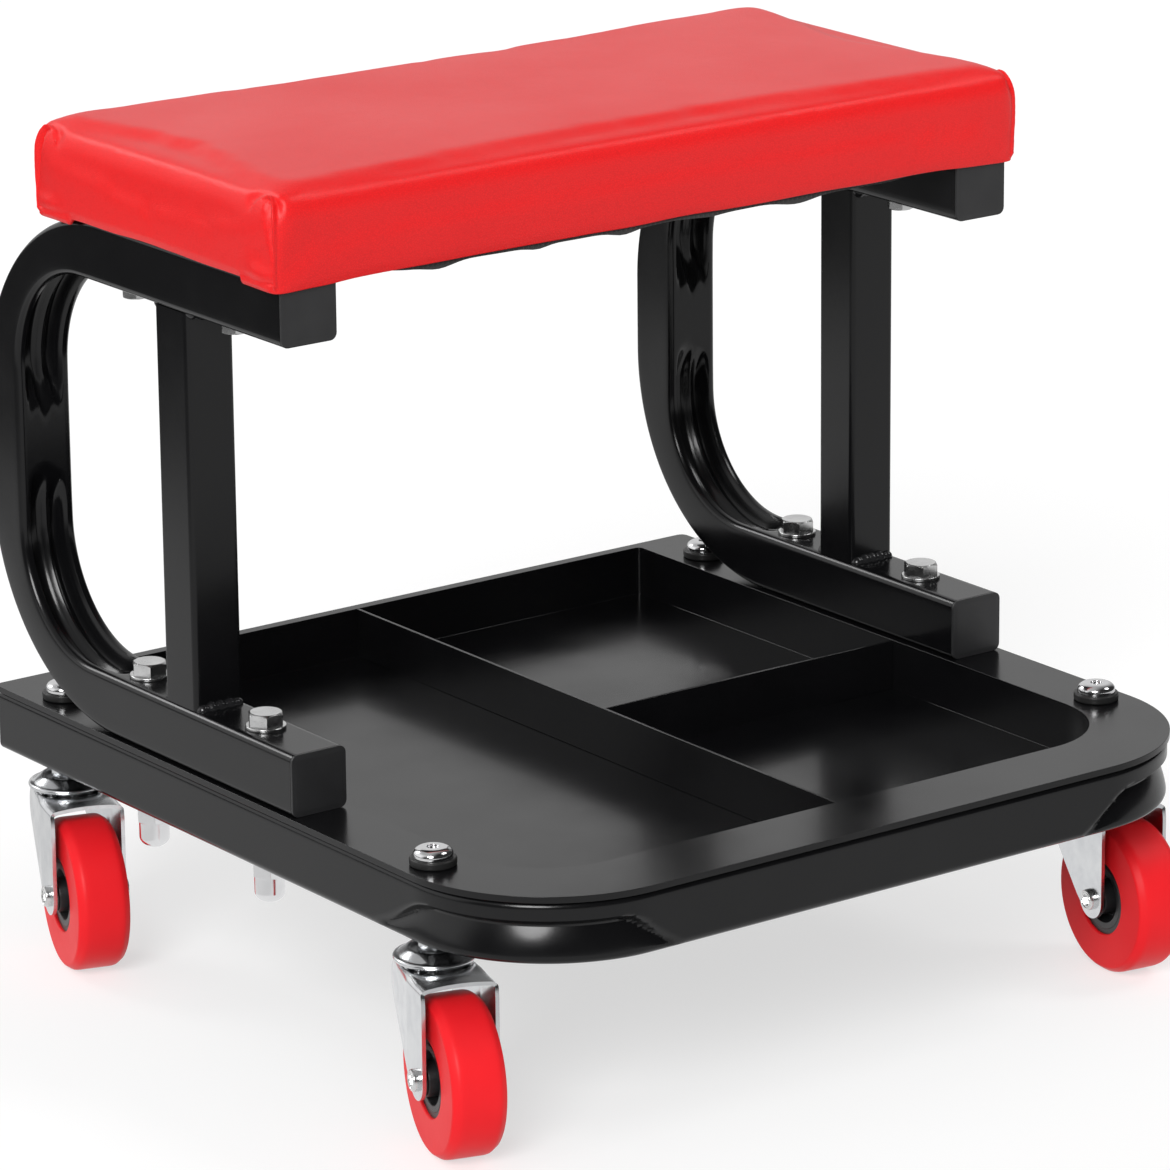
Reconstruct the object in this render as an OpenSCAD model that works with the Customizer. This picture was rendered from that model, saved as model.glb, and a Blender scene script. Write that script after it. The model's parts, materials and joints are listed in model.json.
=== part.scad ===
// Creeper seat: a padded seat on two bent tube frames over a tool tray that rolls on four swivel casters.
// The origin is on the floor below the middle of the tray. +Z is up and -Y is the front.

/* [Square tube] */
// Outside width of the square tube
tube_w = 25.4; // [20:0.2:32]
// Wall of the square tube
tube_wall = 1.5; // [1:0.1:2.5]
// Outside corner radius of the square tube
tube_corner = 3; // [2:0.25:5]

/* [Base] */
// Distance from the middle of the seat to the middle of a side rail
rail_x = 166; // [140:0.5:190]
// Front face of the base tube, ahead of the middle
base_front = 182.3; // [165:0.1:210]
// Rear end of the side rails, behind the middle
base_back = 180.8; // [165:0.1:200]
// Outside radius of the two front bends of the base tube
base_bend = 64; // [50:0.5:80]

/* [Tool tray] */
// Thickness of the tray's sheet
sheet = 1.3; // [0.8:0.1:1.6]
// How far the tray's edge stands past the base tube
tray_lip = 1; // [0:0.1:3]
// Rear edge of the tray, behind the middle
tray_back = 183.3; // [182:0.1:205]
// Width of the hem folded under the tray's edge
hem_w = 8; // [5:0.5:14]
// Depth of the pan below the tray's top
pan_depth = 21.5; // [12:0.5:26]
// Inside of the pan's front wall, ahead of the middle
pan_front = 150.4; // [140:0.1:152]
// Inside of the pan's rear wall, behind the middle
pan_back = 178.4; // [165:0.1:179]
// Inside radius of the pan's front corners
pan_corner = 40; // [34:0.5:60]
// Inside radius of the pan's rear corners
pan_back_corner = 3; // [2:0.25:8]
// Radius of the tray's rear corners
tray_back_corner = 3; // [1:0.25:8]
// Thickness of the two dividers
divider_t = 1.2; // [0.8:0.1:3]
// Place of the long divider, right of the middle
divider_x = 0; // [-60:1:20]
// Place of the cross divider, behind the middle
divider_y = 1.3; // [-60:0.1:80]

/* [C-frames] */
// Gap between the lower and the upper tube of a C-frame
c_gap = 162.3; // [130:0.1:200]
// Front end of the C-frames with their plugs, ahead of the middle
c_front = 37; // [30:0.1:80]
// Rear face of the C-frames, behind the middle
c_back = 183; // [165:0.1:200]
// Radius of a bend along its outer face
bend_out = 90.5; // [75:0.5:94]
// Radius of a bend along its inner face
bend_in = 48; // [40:0.5:60]
// Depth of the crease that the bending leaves in the inner face
crease = 4; // [1:0.25:6]
// How far a crease runs past its bend
crease_run = 12; // [4:1:20]
// Width of the square post between the lower and the upper tube
post_w = 22.4; // [19:0.2:25]
// Wall of the post
post_wall = 1.5; // [1:0.1:2.5]
// Middle of the posts, behind the middle of the seat
post_y = 44; // [35:0.5:60]
// Leg of the weld beads at the posts
bead = 3.2; // [2:0.1:5]

/* [End plugs] */
// Thickness of a plug's lip
plug_lip = 1.5; // [1:0.1:3]
// Length of a plug's shank in the tube
plug_shank = 14; // [8:0.5:25]
// Clearance of a plug's shank in the tube
plug_gap = 0.1; // [0.05:0.05:0.5]

/* [Seat] */
// How far the seat's lower edge stands ahead of the C-frames' front ends
seat_ahead = 1.9; // [1.9:0.1:20]
// How far the seat's lower edge stands past the C-frames at each side
seat_past = 3.9; // [1.9:0.1:20]
// Width of the seat across its widest part
seat_w = 177.2; // [160:0.5:220]
// How much shorter the seat is at its lower edge
seat_l_taper = 2.8; // [0:0.1:6]
// How much narrower the seat is at its lower edge
seat_w_taper = 6.1; // [0:0.1:8]
// How far the cover hangs below the top of the upper tubes
seat_hang = 2.9; // [1:0.1:5]
// Height of the seat's rounded edge above the upper tubes
seat_edge_h = 35; // [30:0.5:60]
// Height of the crown above the rounded edge
seat_crown = 3.6; // [1:0.1:10]
// Corner radius of the seat in plan
seat_corner = 9; // [6:0.5:20]
// Corner radius of the seat at its lower edge
seat_low_corner = 4.5; // [4:0.1:5.5]
// How far the sides draw in between the corners
seat_draw_in = 1.6; // [0:0.1:3]
// Thickness of the vinyl cover
vinyl = 1; // [0.6:0.1:1.5]
// Width of the cover's edge folded under the board
fold_w = 7.5; // [5:0.5:8]
// Thickness of the plywood board
board_t = 12; // [9:0.5:18]
// Thickness of the dust cover
dust_t = 0.6; // [0.4:0.1:1]
// How far the dust cover stays inside the board's edge
dust_inset = 4; // [3:0.5:20]

/* [Fasteners] */
// Diameter of the frame bolts
frame_bolt_d = 8; // [6:0.5:10]
// Width across flats of the frame bolts' heads and dome nuts
frame_bolt_af = 13; // [12:0.5:17]
// Height of the frame bolts' heads
frame_head_h = 5.3; // [4:0.1:7]
// Distance of the front frame bolts ahead of the posts' middle
bolt_ahead = 44; // [30:0.5:60]
// Distance of the rear frame bolts behind the posts' middle
bolt_behind = 40; // [28:0.5:44]
// Diameter of the seat bolts
seat_bolt_d = 6; // [5:0.5:8]
// Width across flats of the seat bolts' heads
seat_bolt_af = 10; // [9:0.5:13]
// Height of the seat bolts' heads
seat_head_h = 4; // [3:0.1:6]
// Distance of the front seat bolts ahead of the posts' middle
seat_bolt_ahead = 29; // [22:0.5:60]
// Distance of the rear seat bolts behind the posts' middle
seat_bolt_behind = 42; // [22:0.5:45]
// Clearance of a bolt or stem in its hole, on the radius
hole_gap = 0.2; // [0.1:0.05:0.6]
// Thickness of the washers
washer_t = 1.4; // [1:0.1:2.5]

/* [Casters] */
// Diameter of a caster wheel
wheel_d = 63.5; // [50:0.5:66]
// Width of a wheel's tread
tread_w = 22; // [18:0.5:24]
// Chamfer of the tread's edges, across the wheel
tread_bevel = 3; // [1:0.25:5]
// Drop of the tread's chamfered edges
tread_drop = 2.2; // [0.5:0.1:4]
// Diameter of the wheel hub's ring
hub_d = 31; // [26:0.5:38]
// Diameter of the recess in the hub's faces
hub_recess_d = 21.4; // [18:0.2:24]
// Depth of the recess in the hub's faces
hub_recess = 6; // [3:0.5:8]
// Diameter of the hub's middle boss
hub_boss_d = 14; // [12:0.5:17]
// Distance of the wheel's axle behind the swivel axis of its caster
trail = 21.7; // [15:0.1:26]
// Place of the front casters, ahead of the middle
stem_front = 113; // [90:0.5:118]
// Place of the rear casters, behind the middle
stem_back = 150; // [120:0.5:160]
// Width between the inner faces of a fork's legs
fork_gap = 26.2; // [24.4:0.1:32]
// Thickness of a fork's plate
fork_t = 2.5; // [1.5:0.1:3]
// Reach of the fork ahead of the swivel axis
fork_ahead = 17.5; // [16.6:0.5:22]
// Reach of a fork's legs past the axle
fork_past = 8; // [6:0.25:10]
// Clearance between the top of the wheel and the fork's crown
wheel_gap = 3.7; // [2:0.1:8]
// Diameter of the upper bearing cap
cap_d = 32.5; // [31:0.5:36]
// Height of the cap's rim
cap_rim_h = 4; // [3:0.1:6]
// Visible gap between the fork's crown and the cap
race_gap = 1.9; // [1.2:0.1:3]
// Diameter of the bearing balls
ball_d = 4; // [3:0.25:4.5]
// Number of balls in a bearing
balls = 14; // [8:1:16]
// Radius of the circle of balls
race_r = 12; // [11:0.25:12.5]
// Diameter of a stem's threaded part
stem_d = 10; // [8:0.5:12]
// Diameter of the kingpin that the fork turns on
kingpin_d = 10; // [8:0.5:12]
// Width across flats of the stem's hex collar
stem_af = 13; // [13:0.5:17]
// Height of the hex collar between the swivel cap and the base tube
collar_h = 6.1; // [4:0.1:16]
// Diameter of an axle bolt
axle_d = 6; // [5:0.5:8]
// Outside diameter of the bearing sleeve on the axle
sleeve_d = 9; // [8.5:0.5:11]
// Diameter of the axle's head and nut
axle_head_d = 8.8; // [8:0.2:12]
// Running clearance of turning parts, on the radius
run_gap = 0.05; // [0.03:0.01:0.1]
// Angle of the left casters' wheels, clockwise from the right side
left_angle = 106.5; // [0:0.5:360]
// Angle of the front right caster's wheel, clockwise from the right side
front_right_angle = 98; // [0:0.5:360]
// Angle of the rear right caster's wheel, clockwise from the right side
back_right_angle = 73.5; // [0:0.5:360]

/* [Hidden] */

$fn = 64;
// Overrun of every cut past the solid that it cuts
over = 1;

// Heights of the casters, which carry the rest
wheel_r = wheel_d / 2;
crown_z = wheel_d + wheel_gap;
crown_top = crown_z + fork_t;
cap_z = crown_top + race_gap;
cap_top = cap_z + cap_rim_h;
// The cap rises to a raised ring round the hex collar
cap_ring_d = 23;
cap_ring_h = 1.2;
// Depth of the well inside the raised ring, in which the collar stands
cap_well = 1.6;
collar_z = cap_top + cap_ring_h - cap_well;

// Heights of the stack from the base tube to the seat
base_z = collar_z + collar_h;
base_top = base_z + tube_w;
tray_z = base_top + sheet;
tray_top = tray_z + sheet;
c_top = tray_top + 2 * tube_w + c_gap;
upper_z = c_top - tube_w;
lower_top = tray_top + tube_w;
fold_z = c_top + dust_t;
board_z = fold_z + vinyl;
board_top = board_z + board_t;

// Plan sizes of the base and the tray
rail_out = rail_x + tube_w / 2;
rail_in = rail_x - tube_w / 2;
tray_half = rail_out + tray_lip;
tray_front = base_front + tray_lip;
// The pan hangs between the rails with this clearance
pan_gap = 0.3;
pan_half = rail_in - pan_gap - sheet;
pan_floor = tray_top - pan_depth;
tray_corner = base_bend + tray_lip;

// Places of the bolts along the rails
bolt_front_y = post_y - bolt_ahead;
bolt_back_y = post_y + bolt_behind;
seat_bolt_front_y = post_y - seat_bolt_ahead;
seat_bolt_back_y = post_y + seat_bolt_behind;
frame_bolt_places = [for (side = [-1, 1], y = [bolt_front_y, bolt_back_y]) [side * rail_x, y]];
seat_bolt_places = [for (side = [-1, 1], y = [seat_bolt_front_y, seat_bolt_back_y]) [side * rail_x, y]];
// Washers are this many times as wide as the head they carry
washer_share = 1.25;
// The dome nuts: their hexagonal part and their dome, as shares of the bolt's diameter
nut_share = 0.8;
dome_share = 0.95;
frame_nut_h = nut_share * frame_bolt_d;
frame_dome_h = dome_share * frame_bolt_d;
// Thread left past the nut's hexagon, inside its dome
thread_end = 2;

// The nuts on the caster stems
stem_washer_d = 18.4;
stem_washer_t = 3.2;
stem_dome_d = 15.6;
stem_dome_h = 5.4;
stem_dome_edge = 2;
stem_recess_d = 4.6;
stem_recess = 1.6;

// Shapes of the casters
// Clearance between the balls and their grooves
ball_gap = 0.05;
ball_z = (crown_top + cap_z) / 2 + (cap_rim_h - race_gap) / 4 - ball_gap;
kingpin_head_d = 16;
kingpin_head_h = 2.2;
fork_half = fork_gap / 2 + fork_t;
// Round of the fork's upper corners
fork_round = 5;
// Height at which a leg starts to narrow, below the crown
fork_straight = 12;
// Chamfer of the crown's front corners in plan
crown_corner = 6;
hub_gap = 0.3;
hub_w = fork_gap - 2 * hub_gap;
// How far the hub's ring lies inside the tread's faces
hub_ring_in = 1;
hub_ring_w = tread_w - 2 * hub_ring_in;
axle_head_h = 2.2;
axle_round = 0.8;
// The socket in an axle's head
axle_socket_d = 4.6;
axle_socket = 1.2;

// Casters: place of the stem and direction of the wheel
front_left = [-rail_x, -stem_front, -left_angle];
front_right = [rail_x, -stem_front, -front_right_angle];
back_left = [-rail_x, stem_back, -left_angle];
back_right = [rail_x, stem_back, -back_right_angle];
casters = [front_left, front_right, back_left, back_right];

// The cover's lower lip hangs outside the tubes, and is this thick
lip_in = 1.6;
seat_l = 2 * (rail_out + seat_past) + seat_l_taper;
seat_y = (seat_w - seat_w_taper) / 2 - c_front - seat_ahead;

// The T-nuts in the seat board
t_nut_d = 8;
t_nut_flange_d = 19;
t_nut_flange = 1.2;
t_nut_l = 10;
t_nut_gap = 0.1;

// The staples under the seat
staple_w = 10;
staple_t = 1;
staple_h = 0.6;
staple_inset = 12;
staples_long = 7;

// A rounded rectangle of width w and height h about the origin, counter-clockwise, with steps sides to a corner
function rounded_box(w, h, r, steps) = [
    for (q = [0 : 3], i = [0 : steps])
        let (a = 90 * (q + i / steps))
        let (sx = (q == 0 || q == 3) ? 1 : -1)
        let (sy = q < 2 ? 1 : -1)
        [sx * (w / 2 - r) + r * cos(a), sy * (h / 2 - r) + r * sin(a)]
];

// An outline in plan with one radius at its front corners and another at its back corners
function plan_outline(half_w, front, back, r_front, r_back, steps = 12) = [
    for (q = [0 : 3], i = [0 : steps])
        let (a = 90 * (q + i / steps))
        let (r = q < 2 ? r_back : r_front)
        let (sx = (q == 0 || q == 3) ? 1 : -1)
        let (cy = q < 2 ? back - r : -front + r)
        [sx * (half_w - r) + r * cos(a), cy + r * sin(a)]
];

// Triangles between rings of n points: rings lists follow one another, and closed joins the last to the first
function ring_faces(rings, n, closed) = [
    for (k = [0 : rings - (closed ? 1 : 2)], i = [0 : n - 1])
        let (a = k * n, b = ((k + 1) % rings) * n, j = (i + 1) % n)
        each [[a + i, b + i, b + j], [a + i, b + j, a + j]]
];

// Triangles that close the first and the last ring to one point each
function pole_faces(rings, n) = [
    for (i = [0 : n - 1])
        let (last = (rings - 1) * n, j = (i + 1) % n)
        each [[rings * n, i, j], [rings * n + 1, last + j, last + i]]
];

// Solid over a list of rings that starts and ends at a point
module lofted(rings, first_point, last_point) {
    n = len(rings[0]);
    points = [for (ring = rings) each ring];
    polyhedron(
        points = concat(points, [first_point, last_point]),
        faces = concat(ring_faces(len(rings), n, false), pole_faces(len(rings), n))
    );
}

// Square tube section, solid or hollow
module tube_section(w, wall, corner) {
    difference() {
        polygon(rounded_box(w, w, corner, 3));
        polygon(rounded_box(w - 2 * wall, w - 2 * wall, corner - wall, 3));
    }
}

// A plug with its lip at the origin, its shank along -Z
module end_plug() {
    shank_w = tube_w - 2 * (tube_wall + plug_gap);
    linear_extrude(plug_lip) polygon(rounded_box(tube_w, tube_w, tube_corner, 3));
    translate([0, 0, -plug_shank])
        linear_extrude(plug_shank) polygon(rounded_box(shank_w, shank_w, tube_corner - tube_wall, 3));
}

module hexagon(af, h) {
    cylinder(d = af / cos(30), h = h, $fn = 6);
}

// Base

module base_frame_tube() {
    side_l = base_back + base_front - base_bend;
    front_l = 2 * (rail_out - base_bend);
    middle_z = base_z + tube_w / 2;
    color("black") difference() {
        union() {
            for (side = [-1, 1]) {
                translate([side * rail_x, base_back - side_l, middle_z])
                    rotate([-90, 0, 0]) linear_extrude(side_l) tube_section(tube_w, tube_wall, tube_corner);
                translate([side * (rail_out - base_bend), base_bend - base_front, middle_z])
                    rotate([0, 0, side > 0 ? -90 : 180])
                    rotate_extrude(angle = 90) translate([base_bend - tube_w / 2, 0])
                    tube_section(tube_w, tube_wall, tube_corner);
            }
            translate([-front_l / 2, tube_w / 2 - base_front, middle_z])
                rotate([0, 90, 0]) linear_extrude(front_l) tube_section(tube_w, tube_wall, tube_corner);
        }
        for (place = frame_bolt_places)
            translate([place.x, place.y, base_z - over])
                cylinder(d = frame_bolt_d + 2 * hole_gap, h = tube_w + 2 * over);
        for (c = casters)
            translate([c.x, c.y, base_z - over])
                cylinder(d = stem_d + 2 * hole_gap, h = tube_w + 2 * over);
    }
}

module base_tube_plugs() {
    color("dimgray") for (side = [-1, 1])
        translate([side * rail_x, base_back, base_z + tube_w / 2]) rotate([-90, 0, 0]) end_plug();
}

module tool_tray() {
    rim = plan_outline(tray_half, tray_front, tray_back, tray_corner, tray_back_corner);
    pan_out = plan_outline(
        pan_half + sheet, pan_front + sheet, pan_back + sheet, pan_corner + sheet, pan_back_corner + sheet
    );
    pan_in = plan_outline(pan_half, pan_front, pan_back, pan_corner, pan_back_corner);
    hem_in = plan_outline(
        tray_half - hem_w, tray_front - hem_w, tray_back + over, tray_corner - hem_w, tray_back_corner
    );
    color("black") difference() {
        union() {
            translate([0, 0, tray_z]) linear_extrude(sheet) polygon(rim);
            translate([0, 0, pan_floor - sheet]) linear_extrude(pan_depth + sheet) polygon(pan_out);
            translate([0, 0, tray_z - sheet]) linear_extrude(sheet) difference() {
                polygon(rim);
                polygon(hem_in);
            }
        }
        translate([0, 0, pan_floor]) linear_extrude(pan_depth + over) polygon(pan_in);
        for (place = frame_bolt_places)
            translate([place.x, place.y, tray_z - over])
                cylinder(d = frame_bolt_d + 2 * hole_gap, h = sheet + 2 * over);
        for (c = casters)
            translate([c.x, c.y, tray_z - over])
                cylinder(d = stem_d + 2 * hole_gap, h = sheet + 2 * over);
    }
}

module tray_divider_long() {
    color("black") translate([divider_x - divider_t / 2, -pan_front, pan_floor])
        cube([divider_t, pan_front + pan_back, pan_depth]);
}

module tray_divider_cross() {
    start = divider_x + divider_t / 2;
    color("black") translate([start, divider_y - divider_t / 2, pan_floor])
        cube([pan_half - start, divider_t, pan_depth]);
}

// C-frames

// Centre of a bend along its outer face, and the line of the inner face as seen from there
bend_y = c_back - bend_out;
inner_line = bend_out - tube_w;
// Offset of the inner face's own centre, and the angle at which its round starts
bend_shift = inner_line - bend_in;
round_start = atan(bend_shift / inner_line);

// Distance of the inner face from the outer face's centre, at angle a of the bend
function inner_reach(a) =
    a < round_start ? inner_line / cos(a) :
    a > 90 - round_start ? inner_line / sin(a) :
    let (along = bend_shift * (cos(a) + sin(a)))
    along + sqrt(pow(bend_in, 2) - 2 * pow(bend_shift, 2) + pow(along, 2));

// One station of the C: outer point and inner point in the Y-Z plane, and the crease's depth there
function bend_station(a, centre_z, up) =
    let (out = [bend_y + bend_out * sin(a), centre_z + up * bend_out * cos(a)])
    let (inn = [bend_y + inner_reach(a) * sin(a), centre_z + up * inner_reach(a) * cos(a)])
    [out, inn, crease * pow(sin(min(90, a * 1.2)), 2)];

bend_steps = 9;
lower_centre_z = tray_top + bend_out;
upper_centre_z = c_top - bend_out;
c_end_y = plug_lip - c_front;
c_stations = concat(
    [[[c_end_y, tray_top], [c_end_y, lower_top], 0]],
    [for (i = [0 : bend_steps]) bend_station(90 * i / bend_steps, lower_centre_z, -1)],
    [for (s = [1, 2]) [
        [c_back, lower_centre_z + s * crease_run / 2], [c_back - tube_w, lower_centre_z + s * crease_run / 2],
        crease * (1 - s / 2)
    ]],
    [for (s = [2, 1]) [
        [c_back, upper_centre_z - s * crease_run / 2], [c_back - tube_w, upper_centre_z - s * crease_run / 2],
        crease * (1 - s / 2)
    ]],
    [for (i = [bend_steps : -1 : 0]) bend_station(90 * i / bend_steps, upper_centre_z, 1)],
    [[[c_end_y, c_top], [c_end_y, upper_z], 0]]
);

// The tube's section as [across, depth from the outer face], with the crease in its inner face
corner_steps = 2;
crease_half_share = 0.25;
function c_section(depth, dent, w, corner, inset) =
    let (h = depth - 2 * inset)
    let (half = w / 2)
    concat(
        [for (i = [0 : corner_steps]) let (a = 90 * i / corner_steps)
            [half - corner + corner * sin(a), inset + corner - corner * cos(a)]],
        [for (i = [0 : corner_steps]) let (a = 90 * i / corner_steps)
            [half - corner + corner * cos(a), inset + h - corner + corner * sin(a)]],
        [for (s = [1, 0, -1]) [s * crease_half_share * w, inset + h - dent * (s == 0 ? 1 : 3 / 4)]],
        [for (i = [0 : corner_steps]) let (a = 90 * i / corner_steps)
            [-half + corner - corner * sin(a), inset + h - corner + corner * cos(a)]],
        [for (i = [0 : corner_steps]) let (a = 90 * i / corner_steps)
            [-half + corner - corner * cos(a), inset + corner - corner * sin(a)]]
    );

function c_ring(station, w, corner, inset) =
    let (out = station[0], inn = station[1])
    let (depth = norm(inn - out))
    let (dir = (inn - out) / depth)
    [for (p = c_section(depth, station[2], w, corner, inset)) [p.x, out.x + dir.x * p.y, out.y + dir.y * p.y]];

module c_frame(side) {
    rings = concat(
        [for (s = c_stations) c_ring(s, tube_w, tube_corner, 0)],
        [for (i = [len(c_stations) - 1 : -1 : 0])
            c_ring(c_stations[i], tube_w - 2 * tube_wall, tube_corner - tube_wall, tube_wall)]
    );
    n = len(rings[0]);
    color("black") difference() {
        translate([side * rail_x, 0, 0])
            polyhedron(points = [for (ring = rings) each ring], faces = ring_faces(len(rings), n, true));
        for (y = [bolt_front_y, bolt_back_y])
            translate([side * rail_x, y, tray_top - over])
                cylinder(d = frame_bolt_d + 2 * hole_gap, h = tube_w + 2 * over);
        for (y = [seat_bolt_front_y, seat_bolt_back_y])
            translate([side * rail_x, y, upper_z - over])
                cylinder(d = seat_bolt_d + 2 * hole_gap, h = tube_w + 2 * over);
    }
}

module left_c_frame() { c_frame(-1); }
module right_c_frame() { c_frame(1); }

module post(side) {
    color("black") translate([side * rail_x, post_y, lower_top])
        linear_extrude(c_gap) tube_section(post_w, post_wall, tube_corner - post_wall / 2);
}

module left_post() { post(-1); }
module right_post() { post(1); }

// Weld beads across the front and the back of a post, at its foot and its head
module weld_beads(side) {
    bead_l = post_w - 2 * tube_corner;
    outline = [[0, 0], [bead, 0], [bead * 0.75, bead * 0.45], [bead * 0.45, bead * 0.75], [0, bead]];
    color("dimgray") translate([side * rail_x, post_y, 0])
        for (face = [-1, 1], end = [0, 1])
            translate([0, face * post_w / 2, end == 0 ? lower_top : upper_z])
                mirror([0, face < 0 ? 1 : 0, 0]) mirror([0, 0, end])
                translate([-bead_l / 2, 0, 0]) rotate([90, 0, 90])
                linear_extrude(bead_l) polygon(outline);
}

module left_weld_beads() { weld_beads(-1); }
module right_weld_beads() { weld_beads(1); }

module c_plug(side, z) {
    color("dimgray") translate([side * rail_x, c_end_y, z + tube_w / 2]) rotate([90, 0, 0]) end_plug();
}

module left_lower_plug() { c_plug(-1, tray_top); }
module right_lower_plug() { c_plug(1, tray_top); }
module left_upper_plug() { c_plug(-1, upper_z); }
module right_upper_plug() { c_plug(1, upper_z); }

// Seat

// One ring of the cushion: its outline in plan, set in from the seat's widest outline by in_l and in_w
long_steps = 10;
short_steps = 5;
corner_sides = 4;
function seat_outline(in_l, in_w, draw, r) =
    let (a = seat_l / 2 - in_l, b = seat_w / 2 - in_w)
    concat(
        [for (i = [0 : corner_sides]) let (t = 90 * i / corner_sides)
            [a - r + r * cos(t), b - r + r * sin(t)]],
        [for (i = [1 : long_steps - 1]) let (u = 1 - 2 * i / long_steps)
            [u * (a - r), b - draw * (1 - u * u)]],
        [for (i = [0 : corner_sides]) let (t = 90 + 90 * i / corner_sides)
            [-a + r + r * cos(t), b - r + r * sin(t)]],
        [for (i = [1 : short_steps - 1]) let (u = 1 - 2 * i / short_steps)
            [-a + draw * (1 - u * u), u * (b - r)]],
        [for (i = [0 : corner_sides]) let (t = 180 + 90 * i / corner_sides)
            [-a + r + r * cos(t), -b + r + r * sin(t)]],
        [for (i = [1 : long_steps - 1]) let (u = 2 * i / long_steps - 1)
            [u * (a - r), -b + draw * (1 - u * u)]],
        [for (i = [0 : corner_sides]) let (t = 270 + 90 * i / corner_sides)
            [a - r + r * cos(t), -b + r + r * sin(t)]],
        [for (i = [1 : short_steps - 1]) let (u = 2 * i / short_steps - 1)
            [a - draw * (1 - u * u), u * (b - r)]]
    );

function seat_ring(in_l, in_w, z, draw, r = seat_corner, share = 1) =
    [for (p = seat_outline(in_l, in_w, draw, r)) [share * p.x, seat_y + share * p.y, z]];

seat_z = c_top - seat_hang;
seat_edge_z = c_top + seat_edge_h;
seat_top = seat_edge_z + seat_crown;
low_l = seat_l_taper / 2;
low_w = seat_w_taper / 2;
// The rounded upper edge: how far it is rolled in
edge_roll = 4.5;
// Crown heights as shares of the crown, at shares of the way from the middle to the edge
crown_shares = [[0.94, 0.45], [0.75, 0.72], [0.45, 0.93]];

// Rings of the cushion's skin from the crown's edge down to the lower edge, drawn inside by the thickness t
function skin_rings(t) = concat(
    [for (i = [len(crown_shares) - 1 : -1 : 0]) let (c = crown_shares[i])
        seat_ring(edge_roll, edge_roll, seat_edge_z + c[1] * seat_crown - t, seat_draw_in, seat_corner, c[0])],
    [
        seat_ring(edge_roll + t / 2, edge_roll + t / 2, seat_edge_z + seat_crown * 0.2 - t, seat_draw_in),
        seat_ring(edge_roll / 4 + t, edge_roll / 4 + t, seat_edge_z - edge_roll / 2, seat_draw_in),
        seat_ring(t, t, seat_edge_z - edge_roll * 2, seat_draw_in),
        seat_ring(low_l / 2 + t, low_w / 2 + t, (seat_z + seat_edge_z) / 2, seat_draw_in),
        seat_ring(low_l + t, low_w + t, seat_z + edge_roll, seat_draw_in / 2, seat_low_corner)
    ]
);

board_gap = 0.3;
function reversed(list) = [for (i = [len(list) - 1 : -1 : 0]) list[i]];

module seat_cover() {
    outside = skin_rings(0);
    inside = skin_rings(vinyl);
    low_r = seat_low_corner - lip_in;
    rings = concat(
        outside,
        [
            seat_ring(low_l + lip_in / 4, low_w + lip_in / 4, seat_z, seat_draw_in / 2, seat_low_corner),
            seat_ring(low_l + lip_in, low_w + lip_in, seat_z, seat_draw_in / 2, low_r),
            seat_ring(low_l + lip_in, low_w + lip_in, c_top, seat_draw_in / 2, low_r),
            seat_ring(low_l + lip_in + vinyl, low_w + lip_in + vinyl, fold_z, seat_draw_in / 2, low_r),
            seat_ring(low_l + vinyl + fold_w, low_w + vinyl + fold_w, fold_z, seat_draw_in / 2, lip_in),
            seat_ring(low_l + vinyl + fold_w, low_w + vinyl + fold_w, board_z, seat_draw_in / 2, lip_in),
            seat_ring(low_l + lip_in, low_w + lip_in, board_z, seat_draw_in / 2, low_r)
        ],
        reversed(inside)
    );
    color("crimson") lofted(rings, [0, seat_y, seat_top], [0, seat_y, seat_top - vinyl]);
}

module seat_foam() {
    skin = skin_rings(vinyl + board_gap);
    foot = seat_ring(low_l + vinyl + board_gap, low_w + vinyl + board_gap, board_top, seat_draw_in / 2);
    rings = concat([for (i = [0 : len(skin) - 2]) skin[i]], [foot]);
    color("wheat")
        lofted(rings, [0, seat_y, seat_top - vinyl - board_gap], [0, seat_y, board_top]);
}

module seat_board() {
    in_l = low_l + lip_in + board_gap + seat_draw_in / 2;
    in_w = low_w + lip_in + board_gap + seat_draw_in / 2;
    board_corner = seat_corner - lip_in;
    color("burlywood") difference() {
        translate([0, seat_y, board_z]) linear_extrude(board_t)
            polygon(rounded_box(seat_l - 2 * in_l, seat_w - 2 * in_w, board_corner, 4));
        for (place = seat_bolt_places) {
            translate([place.x, place.y, board_z - over])
                cylinder(d = t_nut_d + 2 * t_nut_gap, h = board_t + 2 * over);
            translate([place.x, place.y, board_top - t_nut_flange])
                cylinder(d = t_nut_flange_d + 2 * t_nut_gap, h = t_nut_flange + over);
        }
    }
}

module seat_dust_cover() {
    in_l = low_l + lip_in + dust_inset;
    in_w = low_w + lip_in + dust_inset;
    color("black") difference() {
        translate([0, seat_y, c_top]) linear_extrude(dust_t)
            polygon(rounded_box(seat_l - 2 * in_l, seat_w - 2 * in_w, seat_corner, 4));
        for (place = seat_bolt_places)
            translate([place.x, place.y, c_top - over])
                cylinder(d = seat_bolt_d + 2 * hole_gap, h = dust_t + 2 * over);
    }
}

module seat_staples() {
    half_l = seat_l / 2 - low_l - lip_in - staple_inset;
    half_w = seat_w / 2 - low_w - lip_in - staple_inset;
    reach = rail_in - staple_w;
    color("silver") for (side = [-1, 1])
        for (i = [0 : staples_long - 1])
            translate([reach * (2 * i / (staples_long - 1) - 1), seat_y + side * half_w, c_top - staple_h / 2])
                cube([staple_w, staple_t, staple_h], center = true);
}

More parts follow.
